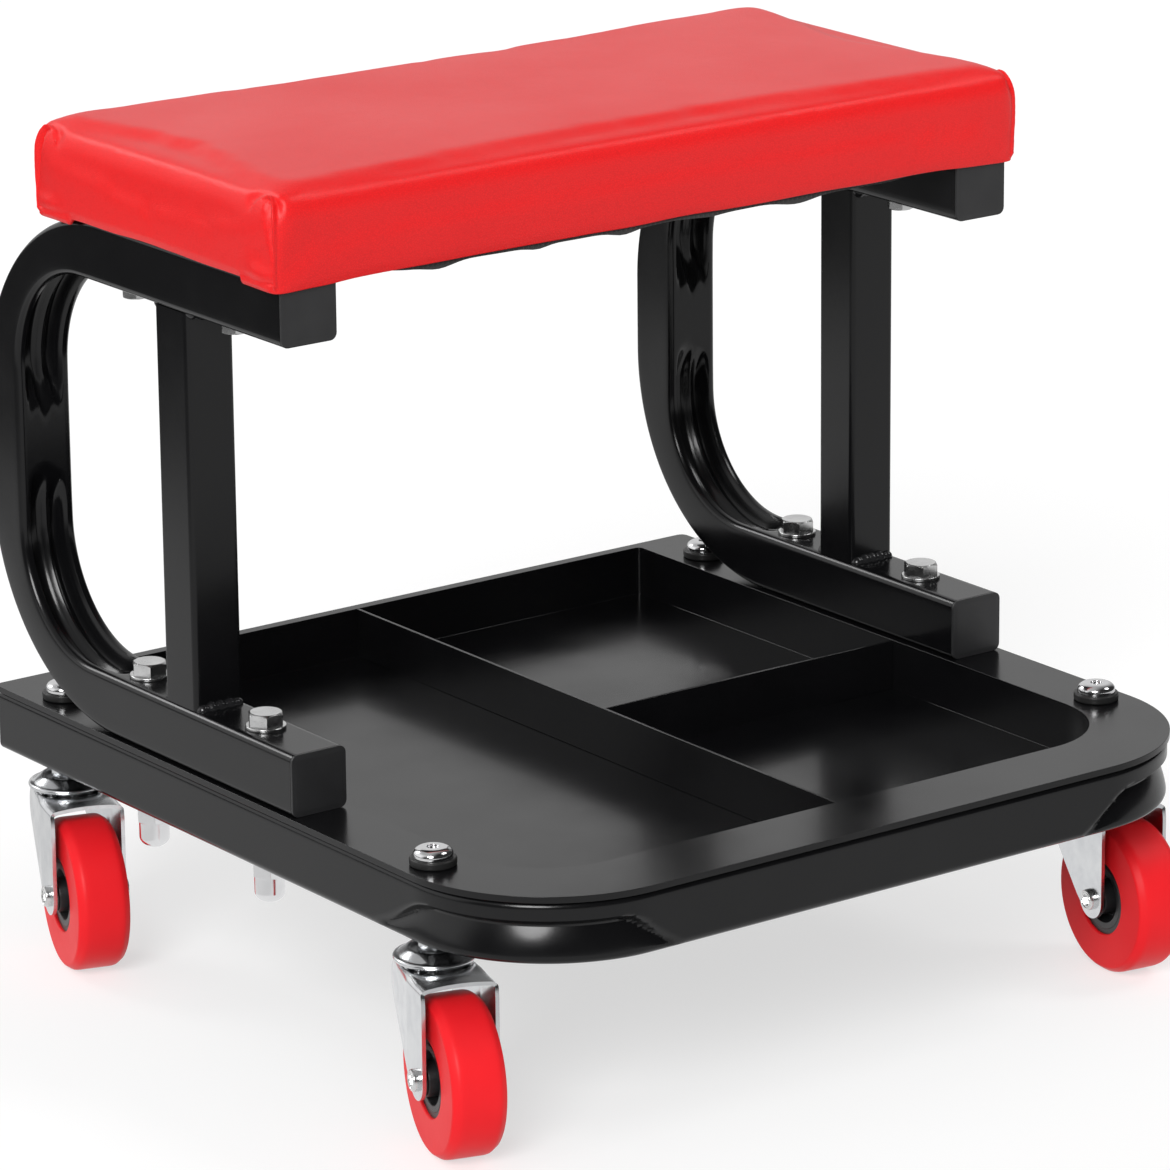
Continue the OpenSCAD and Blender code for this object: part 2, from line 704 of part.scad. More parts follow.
module seat_t_nuts() {
    color("silver") for (place = seat_bolt_places)
        translate([place.x, place.y, 0]) difference() {
            union() {
                translate([0, 0, board_top - t_nut_l]) cylinder(d = t_nut_d, h = t_nut_l);
                translate([0, 0, board_top - t_nut_flange]) cylinder(d = t_nut_flange_d, h = t_nut_flange);
            }
            translate([0, 0, board_top - t_nut_l - over])
                cylinder(d = seat_bolt_d + 2 * run_gap, h = t_nut_l + 2 * over);
        }
}

// Fasteners

module washer(hole_d, d, t) {
    difference() {
        cylinder(d = d, h = t);
        translate([0, 0, -over]) cylinder(d = hole_d + 2 * hole_gap, h = t + 2 * over);
    }
}

module seat_bolts() {
    shank_l = tube_w + dust_t + vinyl + board_t - t_nut_flange + washer_t;
    color("silver") for (place = seat_bolt_places)
        translate([place.x, place.y, upper_z - washer_t]) {
            translate([0, 0, -seat_head_h]) hexagon(seat_bolt_af, seat_head_h);
            cylinder(d = seat_bolt_d, h = shank_l);
        }
}

module seat_bolt_washers() {
    color("silver") for (place = seat_bolt_places)
        translate([place.x, place.y, upper_z - washer_t])
            washer(seat_bolt_d, washer_share * seat_bolt_af, washer_t);
}

module frame_bolts() {
    shank_l = washer_t + lower_top - base_z + washer_t + frame_nut_h + thread_end;
    color("silver") for (place = frame_bolt_places)
        translate([place.x, place.y, lower_top + washer_t]) {
            hexagon(frame_bolt_af, frame_head_h);
            translate([0, 0, -shank_l]) cylinder(d = frame_bolt_d, h = shank_l);
        }
}

module frame_bolt_washers() {
    color("silver") for (place = frame_bolt_places) {
        translate([place.x, place.y, lower_top])
            washer(frame_bolt_d, washer_share * frame_bolt_af, washer_t);
        translate([place.x, place.y, base_z - washer_t])
            washer(frame_bolt_d, washer_share * frame_bolt_af, washer_t);
    }
}

module frame_dome_nuts() {
    dome_r = frame_bolt_af / 2;
    color("silver") for (place = frame_bolt_places)
        translate([place.x, place.y, base_z - washer_t]) mirror([0, 0, 1]) difference() {
            union() {
                hexagon(frame_bolt_af, frame_nut_h);
                translate([0, 0, frame_nut_h]) cylinder(r = dome_r, h = frame_dome_h - dome_r / 2);
                translate([0, 0, frame_nut_h + frame_dome_h - dome_r / 2]) intersection() {
                    sphere(r = dome_r);
                    cylinder(r = dome_r, h = dome_r);
                }
            }
            translate([0, 0, -over]) cylinder(
                d = frame_bolt_d + 2 * run_gap,
                h = frame_nut_h + thread_end + 2 * over
            );
        }
}

module stem_nut_washers() {
    color("dimgray") for (c = casters)
        translate([c.x, c.y, tray_top]) washer(stem_d, stem_washer_d, stem_washer_t);
}

module stem_dome_nuts() {
    stem_end = stem_washer_t + stem_dome_h / 2;
    color("silver") for (c = casters)
        translate([c.x, c.y, tray_top]) difference() {
            translate([0, 0, stem_washer_t]) rotate_extrude() polygon([
                [0, 0],
                [stem_dome_d / 2, 0],
                [stem_dome_d / 2, stem_dome_h - stem_dome_edge * 1.5],
                [stem_dome_d / 2 - stem_dome_edge * 0.4, stem_dome_h - stem_dome_edge * 0.7],
                [stem_dome_d / 2 - stem_dome_edge, stem_dome_h - stem_dome_edge * 0.25],
                [stem_recess_d / 2, stem_dome_h],
                [0, stem_dome_h]
            ]);
            translate([0, 0, stem_washer_t - over])
                cylinder(d = stem_d + 2 * run_gap, h = stem_end - stem_washer_t + over + run_gap);
            translate([0, 0, stem_washer_t + stem_dome_h - stem_recess])
                cylinder(d = stem_recess_d, h = stem_recess + over);
        }
}

// Casters

module caster_stems() {
    stem_end = tray_top + stem_washer_t + stem_dome_h / 2;
    color("silver") for (c = casters) translate([c.x, c.y, 0]) {
        translate([0, 0, base_z]) cylinder(d = stem_d, h = stem_end - base_z);
        translate([0, 0, collar_z]) hexagon(stem_af, base_z - collar_z);
        translate([0, 0, crown_z - run_gap]) cylinder(d = kingpin_d, h = collar_z - crown_z + run_gap);
        translate([0, 0, crown_z - run_gap - kingpin_head_h]) cylinder(d = kingpin_head_d, h = kingpin_head_h);
    }
}

// Groove that the balls run in
module ball_groove() {
    translate([0, 0, ball_z]) rotate_extrude() translate([race_r, 0]) circle(d = ball_d + 2 * ball_gap);
}

module swivel_caps() {
    color("silver") for (c = casters) translate([c.x, c.y, 0]) difference() {
        rotate_extrude() polygon([
            [kingpin_d / 2 + run_gap, cap_z],
            [cap_d / 2 - cap_rim_h / 8, cap_z],
            [cap_d / 2, cap_z + cap_rim_h / 8],
            [cap_d / 2, cap_top - cap_rim_h / 4],
            [cap_d / 2 - cap_rim_h / 4, cap_top],
            [cap_ring_d / 2, cap_top + cap_ring_h],
            [cap_ring_d / 2 - cap_ring_h, cap_top + cap_ring_h],
            [cap_ring_d / 2 - cap_ring_h, cap_top + cap_ring_h - cap_well],
            [kingpin_d / 2 + run_gap, cap_top + cap_ring_h - cap_well]
        ]);
        ball_groove();
    }
}

module swivel_balls() {
    color("gainsboro") for (c = casters) translate([c.x, c.y, ball_z])
        for (i = [0 : balls - 1]) rotate([0, 0, 360 * i / balls])
            translate([race_r, 0, 0]) sphere(d = ball_d);
}

// Everything below is drawn with the wheel towards +X and the swivel axis at the origin

module placed(c) {
    translate([c.x, c.y, 0]) rotate([0, 0, c.z]) children();
}

module fork_leg() {
    leg_end = trail + fork_past;
    steps = 8;
    outline = concat(
        [[fork_round - fork_ahead, crown_top], [-fork_ahead, crown_top - fork_round]],
        [[-fork_ahead, crown_z - fork_straight]],
        [for (i = [0 : steps]) let (a = 200 + 160 * i / steps)
            [trail + fork_past * cos(a), wheel_r + fork_past * sin(a)]],
        [[leg_end, crown_top - fork_round / 2], [leg_end - fork_round / 2, crown_top]]
    );
    rotate([90, 0, 0]) linear_extrude(fork_t) polygon(outline);
}

module fork(c) {
    leg_end = trail + fork_past;
    half = fork_half;
    color("silver") placed(c) difference() {
        union() {
            translate([0, -fork_gap / 2, 0]) fork_leg();
            translate([0, fork_half, 0]) fork_leg();
            translate([0, 0, crown_z]) linear_extrude(fork_t) polygon([
                [fork_round - fork_ahead, -half], [leg_end - fork_round / 2, -half],
                [leg_end - fork_round / 2, half], [fork_round - fork_ahead, half],
                [-fork_ahead, half - crown_corner], [-fork_ahead, crown_corner - half]
            ]);
        }
        translate([0, 0, crown_z - over]) cylinder(d = kingpin_d + 2 * run_gap, h = fork_t + 2 * over);
        ball_groove();
        translate([trail, fork_half + over, wheel_r]) rotate([90, 0, 0])
            cylinder(d = axle_d + 2 * run_gap, h = 2 * (fork_half + over));
    }
}

module axle_bolt(c) {
    color("silver") placed(c) translate([trail, 0, wheel_r]) rotate([90, 0, 0]) {
        translate([0, 0, -fork_half - axle_head_h]) cylinder(d = axle_d, h = 2 * fork_half + axle_head_h);
        translate([0, 0, fork_half]) difference() {
            union() {
                cylinder(d = axle_head_d, h = axle_head_h - axle_round);
                translate([0, 0, axle_head_h - axle_round])
                    cylinder(d1 = axle_head_d, d2 = axle_head_d - 2 * axle_round, h = axle_round);
            }
            translate([0, 0, axle_head_h - axle_socket]) hexagon(axle_socket_d, axle_socket + over);
        }
    }
}

module axle_nut(c) {
    color("silver") placed(c) translate([trail, 0, wheel_r]) rotate([-90, 0, 0])
        translate([0, 0, fork_half]) difference() {
            hexagon(axle_head_d, axle_head_h);
            translate([0, 0, -over]) cylinder(d = axle_d + 2 * run_gap, h = axle_head_h + 2 * over);
        }
}

module axle_sleeve(c) {
    color("gainsboro") placed(c) translate([trail, fork_gap / 2, wheel_r]) rotate([90, 0, 0]) difference() {
        cylinder(d = sleeve_d, h = fork_gap);
        translate([0, 0, -over]) cylinder(d = axle_d + 2 * run_gap, h = fork_gap + 2 * over);
    }
}

// Hub and tread are turned about the axle: half outlines in [radius, half width]
module hub(c) {
    boss = hub_boss_d / 2;
    ring = hub_ring_w / 2;
    web = hub_ring_w / 2 - hub_recess;
    color("darkslategray") placed(c) translate([trail, 0, wheel_r]) rotate([90, 0, 0])
        rotate_extrude() polygon([
            [sleeve_d / 2 + run_gap, -hub_w / 2], [boss, -hub_w / 2], [boss, -web], [hub_recess_d / 2, -web],
            [hub_recess_d / 2, -ring], [hub_d / 2, -ring], [hub_d / 2, ring], [hub_recess_d / 2, ring],
            [hub_recess_d / 2, web], [boss, web], [boss, hub_w / 2], [sleeve_d / 2 + run_gap, hub_w / 2]
        ]);
}

module tread(c) {
    half = tread_w / 2;
    color("red") placed(c) translate([trail, 0, wheel_r]) rotate([90, 0, 0])
        rotate_extrude($fn = 128) polygon([
            [hub_d / 2, -half], [wheel_r - tread_drop, -half], [wheel_r, tread_bevel - half],
            [wheel_r, half - tread_bevel], [wheel_r - tread_drop, half], [hub_d / 2, half]
        ]);
}

base_frame_tube();
base_tube_plugs();
tool_tray();
tray_divider_long();
tray_divider_cross();
left_c_frame();
right_c_frame();
left_post();
right_post();
left_weld_beads();
right_weld_beads();
left_lower_plug();
right_lower_plug();
left_upper_plug();
right_upper_plug();
seat_board();
seat_foam();
seat_cover();
seat_dust_cover();
seat_staples();
seat_t_nuts();
seat_bolts();
seat_bolt_washers();
frame_bolts();
frame_bolt_washers();
frame_dome_nuts();
stem_nut_washers();
stem_dome_nuts();
caster_stems();
swivel_caps();
swivel_balls();
fork(front_left);  // fork_front_left
fork(front_right);  // fork_front_right
fork(back_left);  // fork_back_left
fork(back_right);  // fork_back_right
axle_bolt(front_left);  // axle_bolt_front_left
axle_bolt(front_right);  // axle_bolt_front_right
axle_bolt(back_left);  // axle_bolt_back_left
axle_bolt(back_right);  // axle_bolt_back_right
axle_nut(front_left);  // axle_nut_front_left
axle_nut(front_right);  // axle_nut_front_right
axle_nut(back_left);  // axle_nut_back_left
axle_nut(back_right);  // axle_nut_back_right
axle_sleeve(front_left);  // axle_sleeve_front_left
axle_sleeve(front_right);  // axle_sleeve_front_right
axle_sleeve(back_left);  // axle_sleeve_back_left
axle_sleeve(back_right);  // axle_sleeve_back_right
hub(front_left);  // hub_front_left
hub(front_right);  // hub_front_right
hub(back_left);  // hub_back_left
hub(back_right);  // hub_back_right
tread(front_left);  // tread_front_left
tread(front_right);  // tread_front_right
tread(back_left);  // tread_back_left
tread(back_right);  // tread_back_right
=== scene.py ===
# %% [markdown]
# # A creeper seat, dressed piece by piece
# A creeper seat is the low rolling stool of a workshop: a padded board on two bent square tubes, over a tool
# tray that rolls on four swivel casters. Its construction already exists as a frame of solids at real size.
# This lesson gives every solid its finish, or stands a finer piece of the same size in its place. The first
# cell loads the frame. Nothing made later may outgrow it.

# %% Load the frame
import json
import math

import bmesh
import bpy
from mathutils import Matrix, Vector, noise


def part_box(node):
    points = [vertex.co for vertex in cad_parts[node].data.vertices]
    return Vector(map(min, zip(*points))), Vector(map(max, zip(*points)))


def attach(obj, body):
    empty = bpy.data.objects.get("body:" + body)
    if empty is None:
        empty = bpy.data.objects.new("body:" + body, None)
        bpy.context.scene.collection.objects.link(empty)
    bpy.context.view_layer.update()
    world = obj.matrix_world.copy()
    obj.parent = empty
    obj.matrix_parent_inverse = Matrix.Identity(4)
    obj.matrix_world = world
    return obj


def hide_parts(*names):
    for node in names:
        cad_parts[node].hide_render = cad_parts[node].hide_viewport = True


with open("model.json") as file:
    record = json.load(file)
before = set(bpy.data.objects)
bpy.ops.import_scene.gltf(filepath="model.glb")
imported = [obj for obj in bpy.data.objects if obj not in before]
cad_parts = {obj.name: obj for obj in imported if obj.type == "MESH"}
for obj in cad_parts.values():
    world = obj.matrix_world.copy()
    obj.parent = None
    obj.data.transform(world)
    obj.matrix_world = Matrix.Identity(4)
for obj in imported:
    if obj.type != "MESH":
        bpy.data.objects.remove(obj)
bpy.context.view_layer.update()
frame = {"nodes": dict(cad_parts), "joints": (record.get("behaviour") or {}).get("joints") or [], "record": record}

MM = 0.001
NEAR = 0.02 * MM
bpy.ops.object.select_all(action="DESELECT")

# %% [markdown]
# ## Sizes come from the frame
# A finer piece has to sit exactly where its solid sits, so sizes are read from the solids' boxes and not
# typed again. Here are the few that most pieces share: the tube's width, the place of the rails and of the
# C-frames, and the heights of the stack.

# %% Read the shared sizes
def span(node, axis):
    """Lowest and highest place of a node along one axis, in metres."""
    low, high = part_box(node)
    return low[axis], high[axis]


X, Y, Z = 0, 1, 2
RAIL_OUT = span("base_frame_tube", X)[1]
BASE_LOW, BASE_TOP = span("base_frame_tube", Z)
TUBE = BASE_TOP - BASE_LOW
RAIL = RAIL_OUT - TUBE / 2
TUBE_WALL = 1.5 * MM
TUBE_CORNER = 3 * MM
BASE_FRONT = span("base_frame_tube", Y)[0]
BASE_BACK = span("base_frame_tube", Y)[1]
TRAY_TOP = span("tool_tray", Z)[1]
C_FRONT, C_BACK = span("left_c_frame", Y)
C_LOW, C_TOP = span("left_c_frame", Z)
SIDES = {"left": -1, "right": 1}
print("tube", round(TUBE / MM, 2), "rail at", round(RAIL / MM, 2), "C-frame height", round((C_TOP - C_LOW) / MM, 2))

# %% [markdown]
# ## Camera
# The photograph looks at the seat from its left front corner, a little from above, through a long lens.
# Azimuth, elevation, roll and distance place the camera, and the lens follows from how large the object
# stands in the picture.

# %% Place the camera
AZIMUTH = math.radians(-36.38)
ELEVATION = math.radians(16.75)
ROLL = math.radians(-0.53)
DISTANCE = 2.510
TARGET = Vector((-0.0161, -0.0082, 0.1670))
LENS = 191.6
SENSOR = 36

back = Vector((
    math.sin(AZIMUTH) * math.cos(ELEVATION),
    -math.cos(AZIMUTH) * math.cos(ELEVATION),
    math.sin(ELEVATION),
))
right = Vector((math.cos(AZIMUTH), math.sin(AZIMUTH), 0))
up = back.cross(right)
camera_x = math.cos(ROLL) * right + math.sin(ROLL) * up
camera_y = math.cos(ROLL) * up - math.sin(ROLL) * right
bpy.ops.object.camera_add()
camera = bpy.context.object
camera.name = "photo_camera"
turned = Matrix((camera_x, camera_y, back)).transposed().to_4x4()
camera.matrix_world = Matrix.Translation(TARGET + back * DISTANCE) @ turned
camera.data.lens = LENS
camera.data.sensor_width = SENSOR
camera.data.clip_end = 50
bpy.context.scene.camera = camera
print("camera at", [round(v, 3) for v in camera.location])

# %% [markdown]
# ## Floor, lamps and background
# The seat stands on white paper under soft studio light. A wide key lamp shines from the front left. Two weaker
# lamps, above on the right and behind on the left, draw the long highlights on the seat's rolled edges, and the
# world lights evenly from all round. The paper is white by its colour, and for the camera it glows, so that it
# blends with the white behind it and keeps only a light shadow.

# %% Helpers for the stage
FLOOR_SIZE = 30
PAPER = 0.80
PAPER_SEEN = 0.42
PAPER_GLOW = 0.62
PAPER_AWAY = 0.66
WORLD_LIGHT = 0.46
# Directions in the studio, for what glossy surfaces mirror. The room gets darker the further a direction leads
# away from the big window. It is dark beside the window, at the front left, and a little darker overhead and
# at the back right.
AWAY_FROM_WINDOW = (0.60, -0.80, 0.0)
BESIDE_WINDOW = (-0.83, -0.56, 0.0)
OVERHEAD = (0, 0, 1)
BACK_RIGHT = (0.63, 0.78, 0.0)


def add_node(tree, kind, inputs=None, **settings):
    """Adds a node, sets its properties, and feeds its inputs with plain values or with other nodes' sockets."""
    node = tree.nodes.new(kind)
    for label, value in settings.items():
        setattr(node, label, value)
    for label, value in (inputs or {}).items():
        if isinstance(value, bpy.types.NodeSocket):
            tree.links.new(value, node.inputs[label])
        else:
            node.inputs[label].default_value = value
    return node


def slide(tree, value, between, levels):
    """Goes smoothly from the first level to the second while a value goes through a range."""
    (start, end), (first, last) = between, levels
    node = add_node(tree, "ShaderNodeMapRange", {
        "Value": value, "From Min": start, "From Max": end, "To Min": first, "To Max": last,
    }, interpolation_type="SMOOTHSTEP")
    return node.outputs["Result"]


def length_of(tree, place):
    """The length of a vector."""
    return add_node(tree, "ShaderNodeVectorMath", {0: place}, operation="LENGTH").outputs["Value"]


def reach_along(tree, place, direction):
    """How far a vector reaches along a direction."""
    node = add_node(tree, "ShaderNodeVectorMath", {0: place, 1: direction}, operation="DOT_PRODUCT")
    return node.outputs["Value"]


def add_sun(name, strength, softness, towards):
    """A sun lamp that shines along a direction; its softness is its width in degrees."""
    bpy.ops.object.light_add(type="SUN")
    lamp = bpy.context.object
    lamp.name = name
    lamp.data.energy = strength
    lamp.data.angle = math.radians(softness)
    lamp.rotation_mode = "QUATERNION"
    lamp.rotation_quaternion = Vector(towards).to_track_quat("-Z", "Y")
    return lamp


# %% [markdown]
# ### What gloss mirrors
# Black paint shows mostly what it mirrors. In a real studio the paper is bright near the object and on the
# window's side, and the room is dark beyond its end and in front, where the camera stands. The floor and the
# world therefore have their own brightness for rays that come off a glossy surface.

# %% Build the stage
bpy.ops.mesh.primitive_plane_add(size=FLOOR_SIZE)
floor = bpy.context.object
floor.name = "paper_floor"
paper = bpy.data.materials.new("white_paper")
paper.use_nodes = True
tree = paper.node_tree
tree.nodes.clear()
path = add_node(tree, "ShaderNodeLightPath").outputs
tint = add_node(tree, "ShaderNodeMapRange", {"Value": path["Is Camera Ray"], "To Min": PAPER, "To Max": PAPER_SEEN})
glow = add_node(tree, "ShaderNodeMapRange", {"Value": path["Is Camera Ray"], "To Min": 0.0, "To Max": PAPER_GLOW})
emission = add_node(tree, "ShaderNodeEmission", {"Strength": glow.outputs[0]})
diffuse = add_node(tree, "ShaderNodeBsdfDiffuse", {"Color": tint.outputs[0]})
seen = add_node(tree, "ShaderNodeAddShader")
tree.links.new(diffuse.outputs[0], seen.inputs[0])
tree.links.new(emission.outputs[0], seen.inputs[1])
place = add_node(tree, "ShaderNodeTexCoord").outputs["Object"]
window_side = slide(tree, length_of(tree, place), between=(0.80, 1.12), levels=(0.76, 0.08))
from_window = slide(tree, reach_along(tree, place, AWAY_FROM_WINDOW), between=(-0.45, 0.30), levels=(0.0, 1.0))
level = add_node(
    tree, "ShaderNodeMix", {"Factor": from_window, "A": window_side, "B": PAPER_AWAY}, data_type="FLOAT"
)
near = slide(tree, length_of(tree, place), between=(0.26, 0.44), levels=(0.9, 0.0))
level = add_node(tree, "ShaderNodeMath", {0: level.outputs[0], 1: near}, operation="MAXIMUM")
mirrored = add_node(tree, "ShaderNodeEmission", {"Strength": level.outputs[0]})
either = add_node(tree, "ShaderNodeMixShader", {"Fac": path["Is Glossy Ray"]})
tree.links.new(seen.outputs[0], either.inputs[1])
tree.links.new(mirrored.outputs[0], either.inputs[2])
output = add_node(tree, "ShaderNodeOutputMaterial")
tree.links.new(either.outputs[0], output.inputs["Surface"])
floor.data.materials.append(paper)

world = bpy.data.worlds.new("white_studio")
bpy.context.scene.world = world
world.use_nodes = True
tree = world.node_tree
path = add_node(tree, "ShaderNodeLightPath").outputs
direct = add_node(
    tree, "ShaderNodeMath", {0: path["Is Camera Ray"], 1: path["Is Transmission Ray"]}, operation="MAXIMUM"
)
plain = add_node(tree, "ShaderNodeMapRange", {"Value": direct.outputs[0], "To Min": WORLD_LIGHT, "To Max": 1.0})
direction = add_node(tree, "ShaderNodeTexCoord").outputs["Generated"]
room = 1.0
for towards, between, dark in (
    (AWAY_FROM_WINDOW, (-0.20, 0.50), 0.03),
    (OVERHEAD, (0.45, 0.85), 0.45),
    (BESIDE_WINDOW, (0.60, 0.88), 0.05),
    (BACK_RIGHT, (0.55, 0.90), 0.72),
):
    shade = slide(tree, reach_along(tree, direction, towards), between, levels=(1.0, dark))
    room = add_node(tree, "ShaderNodeMath", {0: room, 1: shade}, operation="MULTIPLY").outputs[0]
level = add_node(
    tree, "ShaderNodeMix", {"Factor": path["Is Glossy Ray"], "A": plain.outputs[0], "B": room}, data_type="FLOAT"
)
sky = tree.nodes["Background"]
sky.inputs["Color"].default_value = (1, 1, 1, 1)
tree.links.new(level.outputs[0], sky.inputs["Strength"])

add_sun("key_lamp", strength=2.15, softness=26, towards=(0.62, 0.50, -0.50))
add_sun("edge_lamp", strength=0.42, softness=17, towards=(0.27, -0.77, -0.55))
add_sun("top_lamp", strength=0.46, softness=18, towards=(-0.568, 0.266, -0.749))
bpy.context.scene.view_settings.view_transform = "Standard"

# %% [markdown]
# ## Shared effects as node groups
# Real finishes are never one flat colour. Powder coat has a faint orange peel, plating is cloudy, mouldings
# have a spark-eroded grain, and everything carries a little dust. Each effect is a node group that is built
# once and placed in each material with its own scale. All of them read the piece's own coordinates in metres.

# %% Build the node groups
def new_group(name, inputs, outputs):
    """An empty shader group with named sockets; returns it with its input and output nodes."""
    group = bpy.data.node_groups.new(name, "ShaderNodeTree")
    for label, kind, value in inputs:
        socket = group.interface.new_socket(name=label, in_out="INPUT", socket_type=kind)
        if value is not None:
            socket.default_value = value
    for label in outputs:
        group.interface.new_socket(name=label, in_out="OUTPUT", socket_type="NodeSocketFloat")
    return group, group.nodes.new("NodeGroupInput"), group.nodes.new("NodeGroupOutput")


def ramp(tree, value, low, high):
    """Spreads a value from low..high over 0..1."""
    node = add_node(tree, "ShaderNodeMapRange", {"Value": value, "From Min": low, "From Max": high}, clamp=True)
    return node.outputs["Result"]


def noise_of(tree, vector, scale, detail=3.0, roughness=0.55):
    node = add_node(tree, "ShaderNodeTexNoise", {
        "Vector": vector, "Scale": scale, "Detail": detail, "Roughness": roughness,
    })
    return node.outputs["Fac"]


def calculate(tree, operation, a, b):
    node = add_node(tree, "ShaderNodeMath", operation=operation)
    for socket, value in zip(node.inputs, (a, b)):
        if isinstance(value, bpy.types.NodeSocket):
            tree.links.new(value, socket)
        else:
            socket.default_value = value
    return node.outputs[0]


def build_surface_wear():
    """Slow cloudiness for colour and gloss, and small specks of dust."""
    group, source, result = new_group(
        "surface_wear",
        [("Vector", "NodeSocketVector", None), ("Cloud Scale", "NodeSocketFloat", 18.0),
         ("Speck Scale", "NodeSocketFloat", 900.0)],
        ["Cloud", "Speck"],
    )
    cloud = noise_of(group, source.outputs["Vector"], source.outputs["Cloud Scale"], 5.0)
    group.links.new(ramp(group, cloud, 0.3, 0.7), result.inputs["Cloud"])
    speck = noise_of(group, source.outputs["Vector"], source.outputs["Speck Scale"], 2.0)
    group.links.new(ramp(group, speck, 0.66, 0.74), result.inputs["Speck"])
    return group


def build_orange_peel():
    """The fine unevenness of baked powder coat."""
    group, source, result = new_group(
        "orange_peel", [("Vector", "NodeSocketVector", None), ("Scale", "NodeSocketFloat", 420.0)], ["Height"],
    )
    broad = noise_of(group, source.outputs["Vector"], source.outputs["Scale"], 1.0)
    fine = calculate(group, "MULTIPLY", source.outputs["Scale"], 4.0)
    grit = noise_of(group, source.outputs["Vector"], fine, 2.0)
    group.links.new(
        calculate(group, "ADD", broad, calculate(group, "MULTIPLY", grit, 0.25)), result.inputs["Height"]
    )
    return group


def build_pebble_grain():
    """Pebbles between fine creases, as embossed into vinyl or spark-eroded into a mould."""
    group, source, result = new_group(
        "pebble_grain", [("Vector", "NodeSocketVector", None), ("Scale", "NodeSocketFloat", 900.0)],
        ["Height", "Crease"],
    )
    bend = noise_of(group, source.outputs["Vector"], 300.0, 2.0)
    shifted = add_node(group, "ShaderNodeVectorMath", operation="MULTIPLY_ADD")
    group.links.new(bend, shifted.inputs[0])
    shifted.inputs[1].default_value = (0.0012, 0.0012, 0.0012)
    group.links.new(source.outputs["Vector"], shifted.inputs[2])
    cells = add_node(group, "ShaderNodeTexVoronoi", {
        "Vector": shifted.outputs[0], "Scale": source.outputs["Scale"],
    }, feature="DISTANCE_TO_EDGE")
    crease = ramp(group, cells.outputs["Distance"], 0.0, 0.22)
    group.links.new(crease, result.inputs["Height"])
    group.links.new(calculate(group, "SUBTRACT", 1.0, crease), result.inputs["Crease"])
    return group


def build_plating():
    """Cloudy gloss and hairline scratches of a plated metal."""
    group, source, result = new_group(
        "plating", [("Vector", "NodeSocketVector", None), ("Scale", "NodeSocketFloat", 120.0)],
        ["Cloud", "Scratch"],
    )
    cloud = noise_of(group, source.outputs["Vector"], source.outputs["Scale"], 4.0)
    group.links.new(ramp(group, cloud, 0.35, 0.65), result.inputs["Cloud"])
    stretched = add_node(group, "ShaderNodeVectorMath", operation="MULTIPLY")
    group.links.new(source.outputs["Vector"], stretched.inputs[0])
    stretched.inputs[1].default_value = (1.0, 1.0, 14.0)
    lines = noise_of(group, stretched.outputs[0], 260.0, 3.0)
    group.links.new(ramp(group, lines, 0.60, 0.72), result.inputs["Scratch"])
    return group


WEAR = build_surface_wear()
ORANGE_PEEL = build_orange_peel()
PEBBLES = build_pebble_grain()
PLATING = build_plating()
print("node groups:", [group.name for group in (WEAR, ORANGE_PEEL, PEBBLES, PLATING)])

# %% [markdown]
# ## Finishes
# A finish is one Principled shader. Its plain numbers are set on the shader, and only what changes over the
# surface comes from the groups: a colour that drifts a little, a roughness that clouds, and a bump. The same
# few steps serve every finish, so they are functions, and each finish then says what makes it its own.

# %% Helpers for finishes
# The sockets of a Mix node that carry colours: its two inputs and its result
MIX_A, MIX_B, MIX_RESULT = 6, 7, 2


def new_finish(name, roughness, **settings):
    """A material with one Principled shader; returns it, its tree, its shader and its coordinates."""
    material = bpy.data.materials.new(name)
    material.use_nodes = True
    tree = material.node_tree
    shader = tree.nodes["Principled BSDF"]
    shader.inputs["Roughness"].default_value = roughness
    for label, value in settings.items():
        shader.inputs[label.replace("_", " ").title().replace("Ior", "IOR")].default_value = value
    place = add_node(tree, "ShaderNodeTexCoord").outputs["Object"]
    return material, tree, shader, place


def use_group(tree, group, place, **inputs):
    node = add_node(tree, "ShaderNodeGroup", node_tree=group)
    tree.links.new(place, node.inputs["Vector"])
    for label, value in inputs.items():
        node.inputs[label.replace("_", " ").title()].default_value = value
    return node.outputs


def drift_colour(tree, shader, mask, first, second):
    """Base colour that drifts between two colours as a mask says."""
    mix = add_node(tree, "ShaderNodeMix", data_type="RGBA")
    tree.links.new(mask, mix.inputs["Factor"])
    mix.inputs[MIX_A].default_value = (*first, 1)
    mix.inputs[MIX_B].default_value = (*second, 1)
    tree.links.new(mix.outputs[MIX_RESULT], shader.inputs["Base Color"])
    return mix.outputs[MIX_RESULT]


def drift_roughness(tree, shader, mask, low, high):
    node = add_node(tree, "ShaderNodeMapRange", {"Value": mask, "To Min": low, "To Max": high})
    tree.links.new(node.outputs["Result"], shader.inputs["Roughness"])


def add_bump(tree, shader, height, depth, strength=1.0):
    """Bump whose full height is a real depth in metres."""
    bump = add_node(tree, "ShaderNodeBump", {"Height": height, "Distance": depth, "Strength": strength})
    tree.links.new(bump.outputs["Normal"], shader.inputs["Normal"])


# %% [markdown]
# ### Painted and moulded blacks
# The frame is baked with semi-gloss powder coat. The paint flows a little thicker and glossier over the weld
# beads. The end plugs are matt moulded plastic, the stem washers are painted, and the wheel hubs are a dark
# grey moulding.

